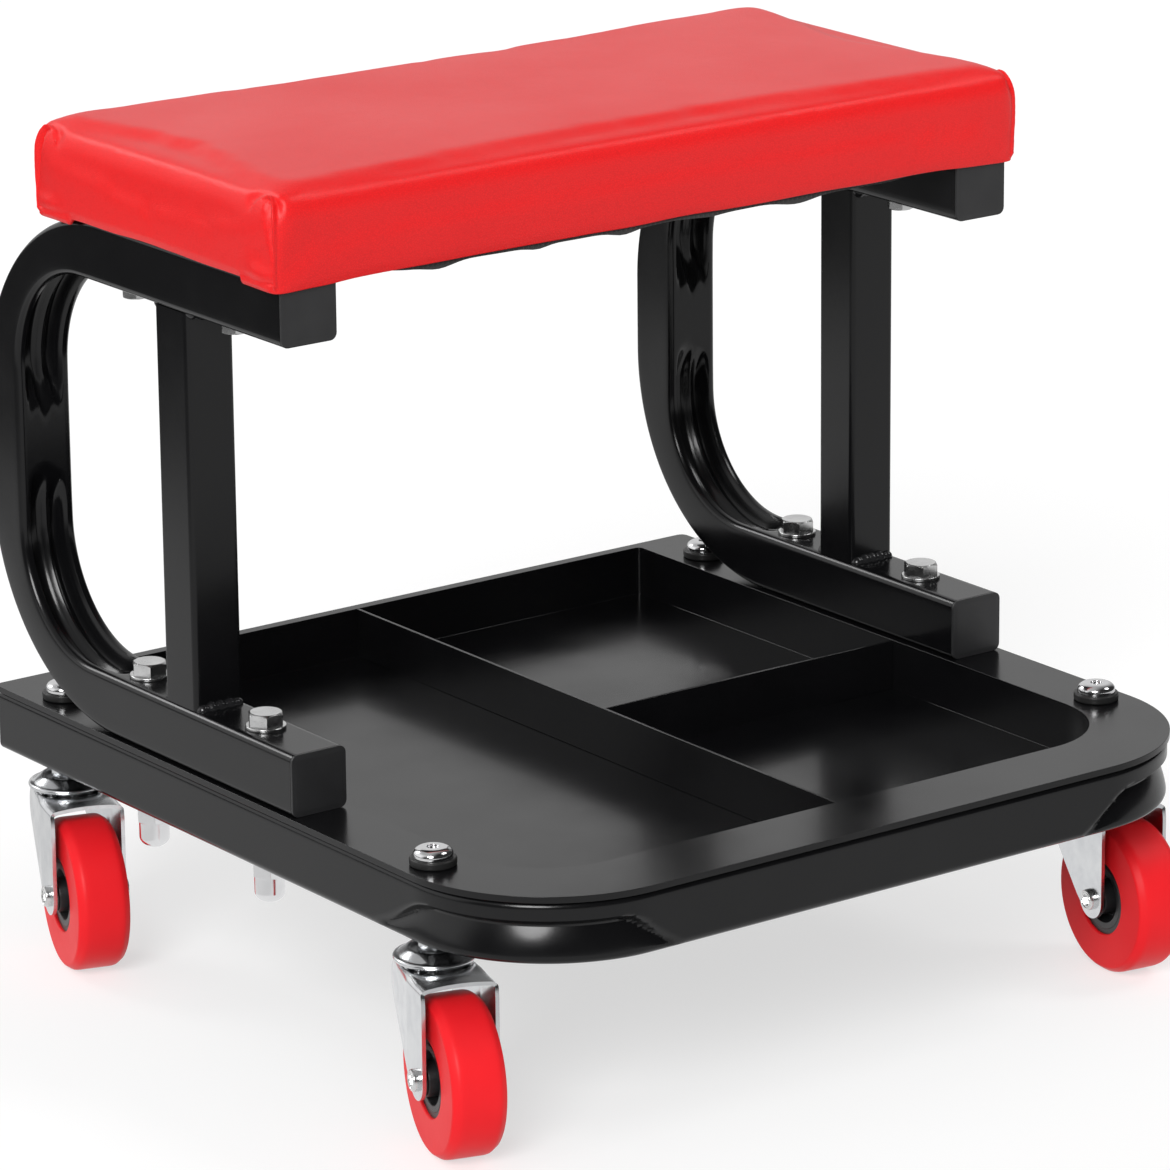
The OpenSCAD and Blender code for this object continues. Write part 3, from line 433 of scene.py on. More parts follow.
# %% Make the blacks
def painted_black(name, base, dusty, roughness, peel_scale, peel_depth, coat):
    """Baked paint: two blacks, a range of roughness, an orange peel and a clear coat."""
    material, tree, shader, place = new_finish(
        name, roughness[0], specular_ior_level=0.32, coat_weight=coat, coat_roughness=0.10
    )
    wear = use_group(tree, WEAR, place)
    drift_colour(tree, shader, wear["Cloud"], base, dusty)
    drift_roughness(tree, shader, wear["Cloud"], *roughness)
    peel = use_group(tree, ORANGE_PEEL, place, scale=peel_scale)
    add_bump(tree, shader, peel["Height"], peel_depth)
    return material


def moulded(name, base, dusty, roughness, grain_scale, grain_depth):
    """Moulded plastic: two blacks, a range of roughness and the grain of its mould."""
    material, tree, shader, place = new_finish(name, roughness[0])
    wear = use_group(tree, WEAR, place, cloud_scale=45.0)
    drift_colour(tree, shader, wear["Cloud"], base, dusty)
    drift_roughness(tree, shader, wear["Speck"], *roughness)
    grain = use_group(tree, PEBBLES, place, scale=grain_scale)
    add_bump(tree, shader, grain["Height"], grain_depth)
    return material


FINISHES = {
    "black_powder_coat": painted_black(
        "black_powder_coat", base=(0.003, 0.003, 0.0035), dusty=(0.005, 0.005, 0.0055), roughness=(0.16, 0.26),
        peel_scale=420.0, peel_depth=0.010 * MM, coat=0.10,
    ),
    "painted_weld": painted_black(
        "painted_weld", base=(0.010, 0.010, 0.011), dusty=(0.014, 0.014, 0.015), roughness=(0.20, 0.28),
        peel_scale=700.0, peel_depth=0.030 * MM, coat=0.5,
    ),
    "black_washer": painted_black(
        "black_washer", base=(0.012, 0.012, 0.012), dusty=(0.020, 0.020, 0.020), roughness=(0.34, 0.48),
        peel_scale=900.0, peel_depth=0.015 * MM, coat=0.1,
    ),
    "black_plastic": moulded(
        "black_plastic", base=(0.016, 0.016, 0.017), dusty=(0.024, 0.024, 0.025), roughness=(0.40, 0.52),
        grain_scale=2600.0, grain_depth=0.020 * MM,
    ),
    "hub_plastic": moulded(
        "hub_plastic", base=(0.010, 0.010, 0.011), dusty=(0.015, 0.015, 0.016), roughness=(0.36, 0.48),
        grain_scale=2600.0, grain_depth=0.018 * MM,
    ),
}
print("blacks:", list(FINISHES))

# %% [markdown]
# ### Plated metals
# The forks and caps are bright zinc, the bolts are a slightly duller zinc, and the dome nuts are chromed.
# Metal shows its surroundings, so its own colour stays nearly even, and the life comes from a roughness that
# clouds and from hairline scratches.

# %% Make the metals
def plated(name, base, cloudy, roughness, scratch_depth):
    """Plated metal: two tints, a range of roughness and hairline scratches."""
    material, tree, shader, place = new_finish(name, roughness[0], metallic=1.0)
    metal = use_group(tree, PLATING, place)
    drift_colour(tree, shader, metal["Cloud"], base, cloudy)
    drift_roughness(tree, shader, metal["Cloud"], *roughness)
    add_bump(tree, shader, metal["Scratch"], scratch_depth)
    return material


FINISHES["bright_zinc"] = plated(
    "bright_zinc", base=(0.72, 0.73, 0.74), cloudy=(0.66, 0.67, 0.69), roughness=(0.14, 0.24),
    scratch_depth=0.004 * MM,
)
FINISHES["zinc_fasteners"] = plated(
    "zinc_fasteners", base=(0.74, 0.74, 0.74), cloudy=(0.66, 0.66, 0.66), roughness=(0.18, 0.30),
    scratch_depth=0.006 * MM,
)
FINISHES["chrome"] = plated(
    "chrome", base=(0.80, 0.80, 0.81), cloudy=(0.76, 0.76, 0.77), roughness=(0.10, 0.18),
    scratch_depth=0.002 * MM,
)

# %% [markdown]
# ### Red vinyl and red tread
# The seat is covered in embossed vinyl: a fine pebble grain under a satin top coat, with painted shade that
# darkens the creases of the grain. The tread is cast polyurethane, smooth and faintly waxy.

# %% Make the reds
def red_vinyl():
    material, tree, shader, place = new_finish("red_vinyl", 0.40, specular_ior_level=0.34)
    grain = use_group(tree, PEBBLES, place, scale=1100.0)
    wear = use_group(tree, WEAR, place, cloud_scale=11.0)
    drifted = drift_colour(tree, shader, wear["Cloud"], (0.880, 0.012, 0.013), (0.840, 0.010, 0.012))
    # Painted shade: the base colour is multiplied darker in the creases of the grain.
    crease_shade = add_node(tree, "ShaderNodeMix", data_type="RGBA", blend_type="MULTIPLY")
    tree.links.new(calculate(tree, "MULTIPLY", grain["Crease"], 0.35), crease_shade.inputs["Factor"])
    tree.links.new(drifted, crease_shade.inputs[MIX_A])
    crease_shade.inputs[MIX_B].default_value = (0.62, 0.45, 0.45, 1)
    tree.links.new(crease_shade.outputs[MIX_RESULT], shader.inputs["Base Color"])
    drift_roughness(tree, shader, wear["Cloud"], 0.30, 0.38)
    add_bump(tree, shader, grain["Height"], 0.035 * MM)
    return material


def red_tread():
    material, tree, shader, place = new_finish("red_tread", 0.40, subsurface_weight=0.06, specular_ior_level=0.16)
    shader.inputs["Subsurface Radius"].default_value = (0.004, 0.001, 0.001)
    wear = use_group(tree, WEAR, place, cloud_scale=30.0)
    drift_colour(tree, shader, wear["Cloud"], (0.860, 0.016, 0.022), (0.800, 0.013, 0.019))
    drift_roughness(tree, shader, wear["Cloud"], 0.36, 0.46)
    peel = use_group(tree, ORANGE_PEEL, place, scale=260.0)
    add_bump(tree, shader, peel["Height"], 0.012 * MM)
    return material


FINISHES["red_vinyl"] = red_vinyl()
FINISHES["red_tread"] = red_tread()

# %% [markdown]
# ### What lies inside the seat
# The board is plywood, whose plies show at its edges as bands of lighter and darker wood. The foam is open
# cells, with painted shade that darkens the pit of each cell, and the dust cover is a black felt of pressed
# fibres with rows of small bonding dots.

# %% Make the seat's inner finishes
def plywood():
    material, tree, shader, place = new_finish("plywood", 0.62)
    grain_place = add_node(tree, "ShaderNodeVectorMath", operation="MULTIPLY")
    tree.links.new(place, grain_place.inputs[0])
    grain_place.inputs[1].default_value = (1.0, 14.0, 1.0)
    grain = noise_of(tree, grain_place.outputs[0], 22.0, 6.0, 0.6)
    split = add_node(tree, "ShaderNodeSeparateXYZ")
    tree.links.new(place, split.inputs[0])
    plies = calculate(tree, "PINGPONG", split.outputs["Z"], 2.4 * MM)
    band = ramp(tree, plies, 1.0 * MM, 1.4 * MM)
    mask = calculate(tree, "ADD", calculate(tree, "MULTIPLY", grain, 0.6), calculate(tree, "MULTIPLY", band, 0.4))
    drift_colour(tree, shader, mask, (0.62, 0.44, 0.26), (0.36, 0.22, 0.11))
    add_bump(tree, shader, grain, 0.10 * MM)
    return material


def foam():
    material, tree, shader, place = new_finish("foam", 0.95)
    cells = add_node(tree, "ShaderNodeTexVoronoi", {"Vector": place, "Scale": 900.0})
    # Painted shade: the colour is darker at the middle of each cell, where the bump makes its pit.
    drift_colour(tree, shader, cells.outputs["Distance"], (0.52, 0.44, 0.24), (0.80, 0.74, 0.52))
    add_bump(tree, shader, cells.outputs["Distance"], 0.30 * MM)
    return material


def dust_cloth():
    material, tree, shader, place = new_finish("dust_cloth", 0.92, sheen_weight=0.25, sheen_roughness=0.6)
    fibres = noise_of(tree, place, 1400.0, 6.0, 0.7)
    dots = add_node(tree, "ShaderNodeTexVoronoi", {"Vector": place, "Scale": 420.0, "Randomness": 0.0})
    pressed = ramp(tree, dots.outputs["Distance"], 0.20, 0.30)
    drift_colour(tree, shader, fibres, (0.006, 0.006, 0.006), (0.028, 0.028, 0.028))
    add_bump(tree, shader, calculate(tree, "ADD", fibres, pressed), 0.12 * MM)
    return material


FINISHES["plywood"] = plywood()
FINISHES["foam"] = foam()
FINISHES["dust_cloth"] = dust_cloth()
print("finishes:", sorted(FINISHES))

# %% [markdown]
# ## Finish every solid of the frame
# Before any finer piece is made, every solid of the frame takes its finish, by the material slot that the
# frame's record gives it. A solid whose shape is already right keeps it to the end.

# %% Give the solids their finishes
SLOT_OF = {part["node"]: part["material_slot"] for part in frame["record"]["subparts"]}
for node, solid in frame["nodes"].items():
    solid.data.materials.clear()
    solid.data.materials.append(FINISHES[SLOT_OF[node]])
print("solids finished:", len(frame["nodes"]))

# %% [markdown]
# ## Modelling by operators
# New pieces are modelled as by hand. A primitive is added at its size and place, opened in edit mode, and
# shaped with Blender's own operators: extrude, bevel, spin, bridge. An operator acts on whatever is selected,
# so a few helpers keep the selection in order. They start a piece, pick its points, edges or faces by their
# place, and close the piece with its shading, its finish and the body that carries it.

# %% Helpers that start and select
def begin(name, size=(1, 1, 1)):
    """Names the primitive just added, sizes it, sets its place into its mesh and opens it for editing."""
    piece = bpy.context.object
    piece.name = name
    piece.data.name = name
    piece.scale = size
    bpy.ops.object.transform_apply(location=True, rotation=True, scale=True)
    bpy.ops.object.mode_set(mode="EDIT")
    bpy.ops.mesh.select_all(action="SELECT")
    return piece


def choose(kind, test):
    """Selects the points, edges or faces of the open mesh whose middle passes a test."""
    bpy.ops.mesh.select_mode(type=kind)
    bpy.ops.mesh.select_all(action="DESELECT")
    piece = bpy.context.object
    mesh = bmesh.from_edit_mesh(piece.data)
    elements = {"VERT": mesh.verts, "EDGE": mesh.edges, "FACE": mesh.faces}[kind]
    chosen = 0
    for element in elements:
        corners = [element.co] if kind == "VERT" else [vertex.co for vertex in element.verts]
        if test(sum(corners, Vector()) / len(corners)):
            element.select_set(True)
            chosen += 1
    mesh.select_flush_mode()
    bmesh.update_edit_mesh(piece.data)
    return chosen


def work_on(piece):
    """Leaves edit mode and makes one piece the only selected and the active one."""
    if bpy.context.mode != "OBJECT":
        bpy.ops.object.mode_set(mode="OBJECT")
    bpy.ops.object.select_all(action="DESELECT")
    piece.select_set(True)
    bpy.context.view_layer.objects.active = piece


# %% Helpers that close a piece
MERGE = 0.004 * MM


def face_outwards(piece):
    """Merges doubled points and turns every face outwards."""
    work_on(piece)
    bpy.ops.object.mode_set(mode="EDIT")
    bpy.ops.mesh.select_mode(type="VERT")
    bpy.ops.mesh.select_all(action="SELECT")
    bpy.ops.mesh.remove_doubles(threshold=MERGE)
    bpy.ops.mesh.normals_make_consistent(inside=False)
    bpy.ops.object.mode_set(mode="OBJECT")


def apply_modifier(piece, kind, **settings):
    """Adds a modifier with its settings and applies it at once."""
    work_on(piece)
    modifier = piece.modifiers.new(kind.lower(), kind)
    for label, value in settings.items():
        setattr(modifier, label, value)
    bpy.ops.object.modifier_apply(modifier=modifier.name)


def reshape(piece, moved):
    """Moves every point of a piece to where a function of its place says."""
    work_on(piece)
    for vertex in piece.data.vertices:
        vertex.co = moved(vertex.co.copy())
    piece.data.update()


def copy_of(model, name, place):
    """A copy with a mesh of its own, moved by a matrix that is set into the mesh."""
    twin = model.copy()
    twin.data = model.data.copy()
    twin.name = name
    twin.data.name = name
    bpy.context.scene.collection.objects.link(twin)
    twin.data.transform(place)
    if place.determinant() < 0:
        twin.data.flip_normals()
    return twin


def close_piece(piece, finish, body, *nodes, angle=32):
    """Smooths the shading up to an angle, keeps flat faces flat, and hands the piece to the frame."""
    work_on(piece)
    bpy.ops.object.shade_smooth_by_angle(angle=math.radians(angle))
    apply_modifier(piece, "WEIGHTED_NORMAL", keep_sharp=True)
    piece.data.materials.clear()
    piece.data.materials.append(FINISHES[finish])
    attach(piece, body)
    if nodes:
        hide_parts(*nodes)
    print(piece.name, "faces:", len(piece.data.polygons), "on", body)


# %% [markdown]
# ## The bent square tubes
# The base tube and the two C-frames are square steel tube, bent cold on a former. A tube is a section that
# travels: a square plane gets round corners, loses its face, and its outline is then extruded along the
# straight stretches and spun round the bends. Solidify gives it its wall at the end. The first helper makes
# the section, and the other two carry it along. Spin turns against the right-hand rule, so the angle is negated.

# %% Helpers that sweep a tube
ROUND_STEPS = 5


def start_section(name, middle, turn, width, corner):
    """The outline of a square tube's section: a plane with rounded points and no face."""
    bpy.ops.mesh.primitive_plane_add(size=width, location=middle, rotation=turn)
    piece = begin(name)
    bpy.ops.mesh.bevel(offset=corner, segments=ROUND_STEPS, affect="VERTICES")
    bpy.ops.mesh.delete(type="ONLY_FACE")
    bpy.ops.mesh.select_mode(type="EDGE")
    bpy.ops.mesh.select_all(action="SELECT")
    return piece


def run(x=0.0, y=0.0, z=0.0, steps=1):
    """Extrudes the selected outline along a straight stretch, in equal steps."""
    for _ in range(steps):
        bpy.ops.mesh.extrude_edges_move(TRANSFORM_OT_translate={"value": (x / steps, y / steps, z / steps)})


def bend(angle, centre, axis, steps):
    """Spins the selected outline round an axis, right-handed."""
    bpy.ops.mesh.spin(steps=steps, angle=-math.radians(angle), center=centre, axis=axis)


def smooth_step(low, high, value):
    """Rises smoothly from 0 at low to 1 at high."""
    share = min(1.0, max(0.0, (value - low) / (high - low)))
    return share * share * (3 - 2 * share)


# %% [markdown]
# ### What bending does to a square tube
# A square tube doesn't bend cleanly. The inner face has too much metal, so it is pressed in along the middle
# and leaves two grooves with a ridge between them, and the whole section gets shallower inside the bend. These
# creases catch the light and are what tells a real bent tube from a drawn one. The section is therefore
# divided finely across its inner face before it is swept, and a function then says where the bending machine
# leaves each point.

# %% Bend the C-frames
BEND_OUT = 90.5 * MM
BEND_IN = 48 * MM
BEND_Y = C_BACK - BEND_OUT
LOW_CENTRE = C_LOW + BEND_OUT
HIGH_CENTRE = C_TOP - BEND_OUT
CREASE = 6.2 * MM
SIDE_BULGE = 0.5 * MM
SHOULDER = 12 * MM
FLAT_HALF = TUBE / 2 - TUBE_CORNER
# Where a crease starts and is fully deep, from the end of its bend: on the level tube and on the upright one
LOW_CREASE = ((-2 * MM, 13 * MM), (-8 * MM, 9 * MM))
HIGH_CREASE = ((1 * MM, 16 * MM), (-4 * MM, 13 * MM))
CREASE_RADIUS = 60 * MM
# Over half of the inner face, as shares of it: where a groove's border rises, and the ridge between the grooves
GROOVE_BORDER = (0.50, 0.95)
RIDGE_HEIGHT, RIDGE_AT, RIDGE_WIDTH = 0.46, 0.10, 0.22
# How much later the dent starts across its width: an arch in the lower bend, lobes in the upper one
ARCH_LAG, ARCH_TILT = 5 * MM, 2.5 * MM
LOBE_LAG, LOBE_WAVES = 1.6 * MM, 8.4
MIDDLE_LEAD, MIDDLE_WIDTH = 3 * MM, 0.3
# Divisions over the inner face and over each side, along a shoulder, round a bend and up the back
INNER_CUTS, SIDE_CUTS = 25, 7
SHOULDER_STEPS, BEND_STEPS, BACK_STEPS = 8, 56, 18


def inner_reach(angle):
    """Distance of the inner face from the bend's centre; its own round is tighter and lies further out."""
    line = BEND_OUT - TUBE
    shift = line - BEND_IN
    start = math.atan(shift / line)
    if angle < start:
        return line / math.cos(angle)
    if angle > math.pi / 2 - start:
        return line / math.sin(angle)
    along = shift * (math.cos(angle) + math.sin(angle))
    return along + math.sqrt(BEND_IN ** 2 - 2 * shift ** 2 + along ** 2)


def crease_across(u):
    """Two grooves with a soft ridge between them, over the flat of the inner face; u is 1 at its edges."""
    ridge = RIDGE_HEIGHT * math.exp(-((u - RIDGE_AT) / RIDGE_WIDTH) ** 2)
    return 1 - smooth_step(*GROOVE_BORDER, abs(u)) - ridge


def crease_end(u, low):
    """How much later the dent starts across its width: a round arch in the lower bend, three lobes in the upper."""
    if low:
        return ARCH_LAG * u * u + ARCH_TILT * smooth_step(0.0, 0.5, u)
    return LOBE_LAG * (1 - math.cos(LOBE_WAVES * u)) - MIDDLE_LEAD * math.exp(-(u / MIDDLE_WIDTH) ** 2)


def bent_place(middle_x):
    def moved(place):
        low = place.z < (LOW_CENTRE + HIGH_CENTRE) / 2
        centre, up = (LOW_CENTRE, -1) if low else (HIGH_CENTRE, 1)
        level, upright = LOW_CREASE if low else HIGH_CREASE
        rise = (place.z - centre) * up
        out = place.y - BEND_Y
        angle = math.atan2(max(out, 0), max(rise, 0))
        share = (BEND_OUT - math.hypot(max(out, 0), max(rise, 0))) / TUBE
        depth = share * (BEND_OUT - inner_reach(angle))
        across = place.x - middle_x
        if share > 0.99 and abs(across) < FLAT_HALF:
            u = across / FLAT_HALF
            lobe = crease_end(u, low)
            along_level = min(out, 0) + angle * CREASE_RADIUS
            along_upright = min(rise, 0) + (math.pi / 2 - angle) * CREASE_RADIUS
            pressed = smooth_step(*level, along_level - lobe) * smooth_step(*upright, along_upright - lobe)
            depth -= CREASE * pressed * crease_across(u)
        side = smooth_step(FLAT_HALF, TUBE / 2, abs(across))
        bulge = SIDE_BULGE * side * 4 * share * (1 - share) * math.sin(2 * angle) ** 2
        radius = BEND_OUT - depth
        return Vector((
            place.x + math.copysign(bulge, across),
            BEND_Y + radius * math.sin(angle) + min(out, 0),
            centre + up * (radius * math.cos(angle) + min(rise, 0)),
        ))
    return moved


def sweep_c_frame(name, x):
    piece = start_section(name, (x, C_FRONT, C_LOW + TUBE / 2), (math.pi / 2, 0, 0), TUBE, TUBE_CORNER)
    choose("EDGE", lambda place: place.z > C_LOW + TUBE - NEAR)
    bpy.ops.mesh.subdivide(number_cuts=INNER_CUTS)
    choose("EDGE", lambda place: abs(place.x - x) > TUBE / 2 - NEAR)
    bpy.ops.mesh.subdivide(number_cuts=SIDE_CUTS)
    bpy.ops.mesh.select_all(action="SELECT")
    run(y=BEND_Y - SHOULDER - C_FRONT)
    run(y=SHOULDER, steps=SHOULDER_STEPS)
    bend(90, (x, BEND_Y, LOW_CENTRE), (1, 0, 0), BEND_STEPS)
    run(z=HIGH_CENTRE - LOW_CENTRE, steps=BACK_STEPS)
    bend(90, (x, BEND_Y, HIGH_CENTRE), (1, 0, 0), BEND_STEPS)
    run(y=-SHOULDER, steps=SHOULDER_STEPS)
    run(y=C_FRONT - BEND_Y + SHOULDER)
    reshape(piece, bent_place(x))
    face_outwards(piece)
    apply_modifier(piece, "SOLIDIFY", thickness=TUBE_WALL, offset=-1)
    return piece


left_c = sweep_c_frame("left_bent_c_frame", -RAIL)
right_c = copy_of(left_c, "right_bent_c_frame", Matrix.Translation((2 * RAIL, 0, 0)))
close_piece(left_c, "black_powder_coat", "frame", "left_c_frame")
close_piece(right_c, "black_powder_coat", "frame", "right_c_frame")

# %% [markdown]
# ### The base tube
# One tube runs up one side, round the two front corners and back along the other side. In its tighter bends
# the outer wall is drawn in: a long dent runs round the lower half of it. The dent starts with a point near the
# lower edge, ahead of the bend, and opens as the bend goes on. The top sinks a little as well.

# %% Bend the base tube
BASE_BEND = 64 * MM
BASE_MIDDLE = (BASE_LOW + BASE_TOP) / 2
BEND_X = RAIL_OUT - BASE_BEND
FRONT_BEND_Y = BASE_FRONT + BASE_BEND
WALL_DENT = 4.0 * MM
INNER_SWELL = 1.2 * MM
TOP_SINK = 1.4 * MM
# Where the dent starts and is fully open, along the wall from the bend's start: from the front, from the side
DENT_FRONT = (-16 * MM, 12 * MM)
DENT_SIDE = (-30 * MM, 8 * MM)
# The dent over the wall's height, which goes from -1 to 1: its upper border, how far that climbs as the dent
# opens, the border's width, and how far below the middle the dent's foot is
DENT_TOP, DENT_CLIMB, DENT_BORDER, DENT_FOOT = 0.42, 1.10, 0.26, 0.98
# The powers by which the dent deepens as it opens, and upwards from its foot
DENT_OPENS, DENT_HOLLOW = 0.6, 1.7
# Radians over which a bend's effect sets in, and the shares of the tube's width that its walls take
BEND_EASE = 0.5
OUTER_WALL, INNER_WALL = (0.0, 0.10), (0.85, 1.0)
# How the sinking leans to the outside, and where over the height it begins
SINK_LEAN, SINK_FROM = 0.8, 0.7
# Divisions of the top and of each wall, beside and ahead of a bend, and round it
TOP_CUTS, WALL_CUTS = 7, 21
BESIDE_STEPS, AHEAD_STEPS, CORNER_STEPS = 18, 10, 44


def dent_shape(height, opened):
    """Share of the dent's depth at a height of the wall, from -1 to 1; its upper border climbs as it opens."""
    top = DENT_TOP - DENT_CLIMB * (1 - opened)
    deepest = top - DENT_BORDER
    if height > deepest:
        return opened ** DENT_OPENS * (1 - smooth_step(deepest, top, height))
    return opened ** DENT_OPENS * max(0, (height + DENT_FOOT) / (deepest + DENT_FOOT)) ** DENT_HOLLOW


def base_place(place):
    out_x = abs(place.x) - BEND_X
    out_y = FRONT_BEND_Y - place.y
    if out_x <= DENT_FRONT[0] or out_y <= DENT_SIDE[0]:
        return place
    angle = math.atan2(max(0, out_x), max(0, out_y))
    radius = math.hypot(max(0, out_x), max(0, out_y))
    share = (BASE_BEND - radius) / TUBE
    height = (place.z - BASE_MIDDLE) / (TUBE / 2)
    from_front = angle * BASE_BEND + min(0, out_x)
    from_side = (math.pi / 2 - angle) * BASE_BEND + min(0, out_y)
    opened = smooth_step(*DENT_FRONT, from_front) * smooth_step(*DENT_SIDE, from_side)
    strength = smooth_step(0, BEND_EASE, angle) * smooth_step(0, BEND_EASE, math.pi / 2 - angle)
    outer = 1 - smooth_step(*OUTER_WALL, share)
    inner = smooth_step(*INNER_WALL, share)
    radius += INNER_SWELL * strength * (1 - height ** 2) * inner - WALL_DENT * dent_shape(height, opened) * outer
    sink = TOP_SINK * strength * math.sin(math.pi * min(1, max(0, share)) ** SINK_LEAN) ** 2
    return Vector((
        math.copysign(BEND_X + radius * math.sin(angle) + min(0, out_x), place.x),
        FRONT_BEND_Y - radius * math.cos(angle) - min(0, out_y),
        place.z - math.copysign(sink, height) * smooth_step(SINK_FROM, 1.0, abs(height)),
    ))


base_tube = start_section(
    "bent_base_tube", (-RAIL, BASE_BACK, BASE_MIDDLE), (math.pi / 2, 0, 0), TUBE, TUBE_CORNER
)
choose("EDGE", lambda place: abs(place.z - BASE_MIDDLE) > TUBE / 2 - NEAR)
bpy.ops.mesh.subdivide(number_cuts=TOP_CUTS)
choose("EDGE", lambda place: abs(place.z - BASE_MIDDLE) < NEAR)
bpy.ops.mesh.subdivide(number_cuts=WALL_CUTS)
bpy.ops.mesh.select_all(action="SELECT")
BESIDE, AHEAD = -DENT_SIDE[0], -DENT_FRONT[0]
run(y=FRONT_BEND_Y + BESIDE - BASE_BACK)
run(y=-BESIDE, steps=BESIDE_STEPS)
bend(90, (-BEND_X, FRONT_BEND_Y, 0), (0, 0, 1), CORNER_STEPS)
run(x=AHEAD, steps=AHEAD_STEPS)
run(x=2 * BEND_X - 2 * AHEAD)
run(x=AHEAD, steps=AHEAD_STEPS)
bend(90, (BEND_X, FRONT_BEND_Y, 0), (0, 0, 1), CORNER_STEPS)
run(y=BESIDE, steps=BESIDE_STEPS)
run(y=BASE_BACK - FRONT_BEND_Y - BESIDE)
reshape(base_tube, base_place)
face_outwards(base_tube)
apply_modifier(base_tube, "SOLIDIFY", thickness=TUBE_WALL, offset=-1)
close_piece(base_tube, "black_powder_coat", "frame", "base_frame_tube")

# %% [markdown]
# ### The posts
# Two square posts are welded between the lower and the upper tube of each C-frame. They are cut square from
# a slightly smaller tube, so a single straight run is enough.

# %% Stand the posts
POST_WALL = 1.5 * MM
POST_CORNER = TUBE_CORNER - POST_WALL / 2
POST_LOW, POST_HIGH = span("left_post", Z)
POST_FRONT, POST_BACK = span("left_post", Y)
POST_Y = (POST_FRONT + POST_BACK) / 2
POST_W = POST_BACK - POST_FRONT
for side, sign in SIDES.items():
    post = start_section(side + "_square_post", (sign * RAIL, POST_Y, POST_LOW), (0, 0, 0), POST_W, POST_CORNER)
    run(z=POST_HIGH - POST_LOW)
    face_outwards(post)
    apply_modifier(post, "SOLIDIFY", thickness=POST_WALL, offset=-1)
    close_piece(post, "black_powder_coat", "frame", side + "_post")

# %% [markdown]
# ### Weld beads
# The posts are fixed by short beads across their front and back. A bead is a row of small puddles, and the
# paint rounds it further. It starts as a cylinder laid along the joint. Each ring of its points then swells
# and shrinks with the puddles and fades out at both ends.

# %% Lay the weld beads
BEAD = 3.2 * MM
BEAD_HALF = POST_W / 2 - 0.6 * MM
PUDDLES = 5
# Shares of the bead's radius: between two puddles, a puddle's swell, the unevenness, and what is left at the ends
BEAD_LOW, BEAD_SWELL, BEAD_WANDER, BEAD_END = 0.78, 0.24, 0.35, 0.25


def bead_place(middle, seed):
    def moved(place):
        along = (place.x - middle.x) / BEAD_HALF
        lump = BEAD_LOW + BEAD_SWELL * abs(math.cos(math.pi * PUDDLES * along / 2))
        wander = noise.noise(Vector((along * 2.2, seed, 0)))
        end = math.sqrt(max(0.0, 1 - abs(along) ** 4))
        offset = Vector((0, place.y - middle.y, place.z - middle.z))
        offset = offset * (lump + BEAD_WANDER * wander) * (BEAD_END + (1 - BEAD_END) * end)
        return Vector((place.x, middle.y, middle.z)) + offset
    return moved


def lay_bead(name, middle, seed):
    bpy.ops.mesh.primitive_cylinder_add(
        vertices=20, radius=BEAD, depth=2 * BEAD_HALF, location=middle, rotation=(0, math.pi / 2, 0)
    )
    bead = begin(name)
    for _ in range(5):
        choose("EDGE", lambda place: abs(math.hypot(place.y - middle.y, place.z - middle.z) - BEAD) < NEAR * 10)
        mesh = bmesh.from_edit_mesh(bead.data)
        for edge in mesh.edges:
            edge.select_set(edge.select and abs(edge.verts[0].co.x - edge.verts[1].co.x) > NEAR)
        bmesh.update_edit_mesh(bead.data)
        bpy.ops.mesh.subdivide(number_cuts=1)
    reshape(bead, bead_place(middle, seed))
    return bead


for side, sign in SIDES.items():
    beads = []
    for end, z in (("foot", POST_LOW), ("head", POST_HIGH)):
        for face, y in (("front", POST_FRONT), ("back", POST_BACK)):
            middle = Vector((sign * RAIL, y, z))
            beads.append(lay_bead(f"{side}_bead_{end}_{face}", middle, len(beads) + 4 * sign))
    work_on(beads[0])
    for bead in beads:
        bead.select_set(True)
    bpy.ops.object.join()
    beads[0].name = side + "_welds"
    close_piece(beads[0], "painted_weld", "frame", side + "_weld_beads", angle=60)

# %% [markdown]
# ## The tool tray
# The tray is one pressed sheet: a broad rim that lies on the base tube, a pan that hangs between the rails, and
# a hem folded under the rim at the front and the sides, so that its edge is round and safe. Two outlines are
# drawn as planes with rounded points. The pan's is extruded down to the floor and closed, and the rim's is
# folded down and in. Then the two are joined, the flat between them is filled, the folds are bevelled, and
# Solidify gives the sheet its thickness below the skin.

# %% Draw the pan and the rim
SHEET = 1.3 * MM
TRAY_HALF = span("tool_tray", X)[1]
TRAY_FRONT, TRAY_BACK = span("tool_tray", Y)
PAN_HALF = span("tray_divider_cross", X)[1]
PAN_FRONT, PAN_BACK = span("tray_divider_long", Y)
PAN_FLOOR = span("tray_divider_long", Z)[0]
RIM_CORNER = TRAY_HALF - BEND_X
PAN_CORNER = 40 * MM
BACK_CORNER = 3 * MM
CORNER_SEGMENTS = 24
HEM = 8 * MM


def draw_outline(name, half, front, back, front_corner):
    """A closed outline in plan at the tray's top, with round corners and no face."""
    bpy.ops.mesh.primitive_plane_add(size=2, location=(0, (front + back) / 2, TRAY_TOP))
    piece = begin(name, (half, (back - front) / 2, 1))
    choose("VERT", lambda place: place.y < front + NEAR)
    bpy.ops.mesh.bevel(offset=front_corner, segments=CORNER_SEGMENTS, affect="VERTICES")
    choose("VERT", lambda place: place.y > back - NEAR)
    bpy.ops.mesh.bevel(offset=BACK_CORNER, segments=ROUND_STEPS, affect="VERTICES")
    bpy.ops.mesh.select_all(action="SELECT")
    bpy.ops.mesh.delete(type="ONLY_FACE")
    choose("EDGE", lambda place: True)
    return piece


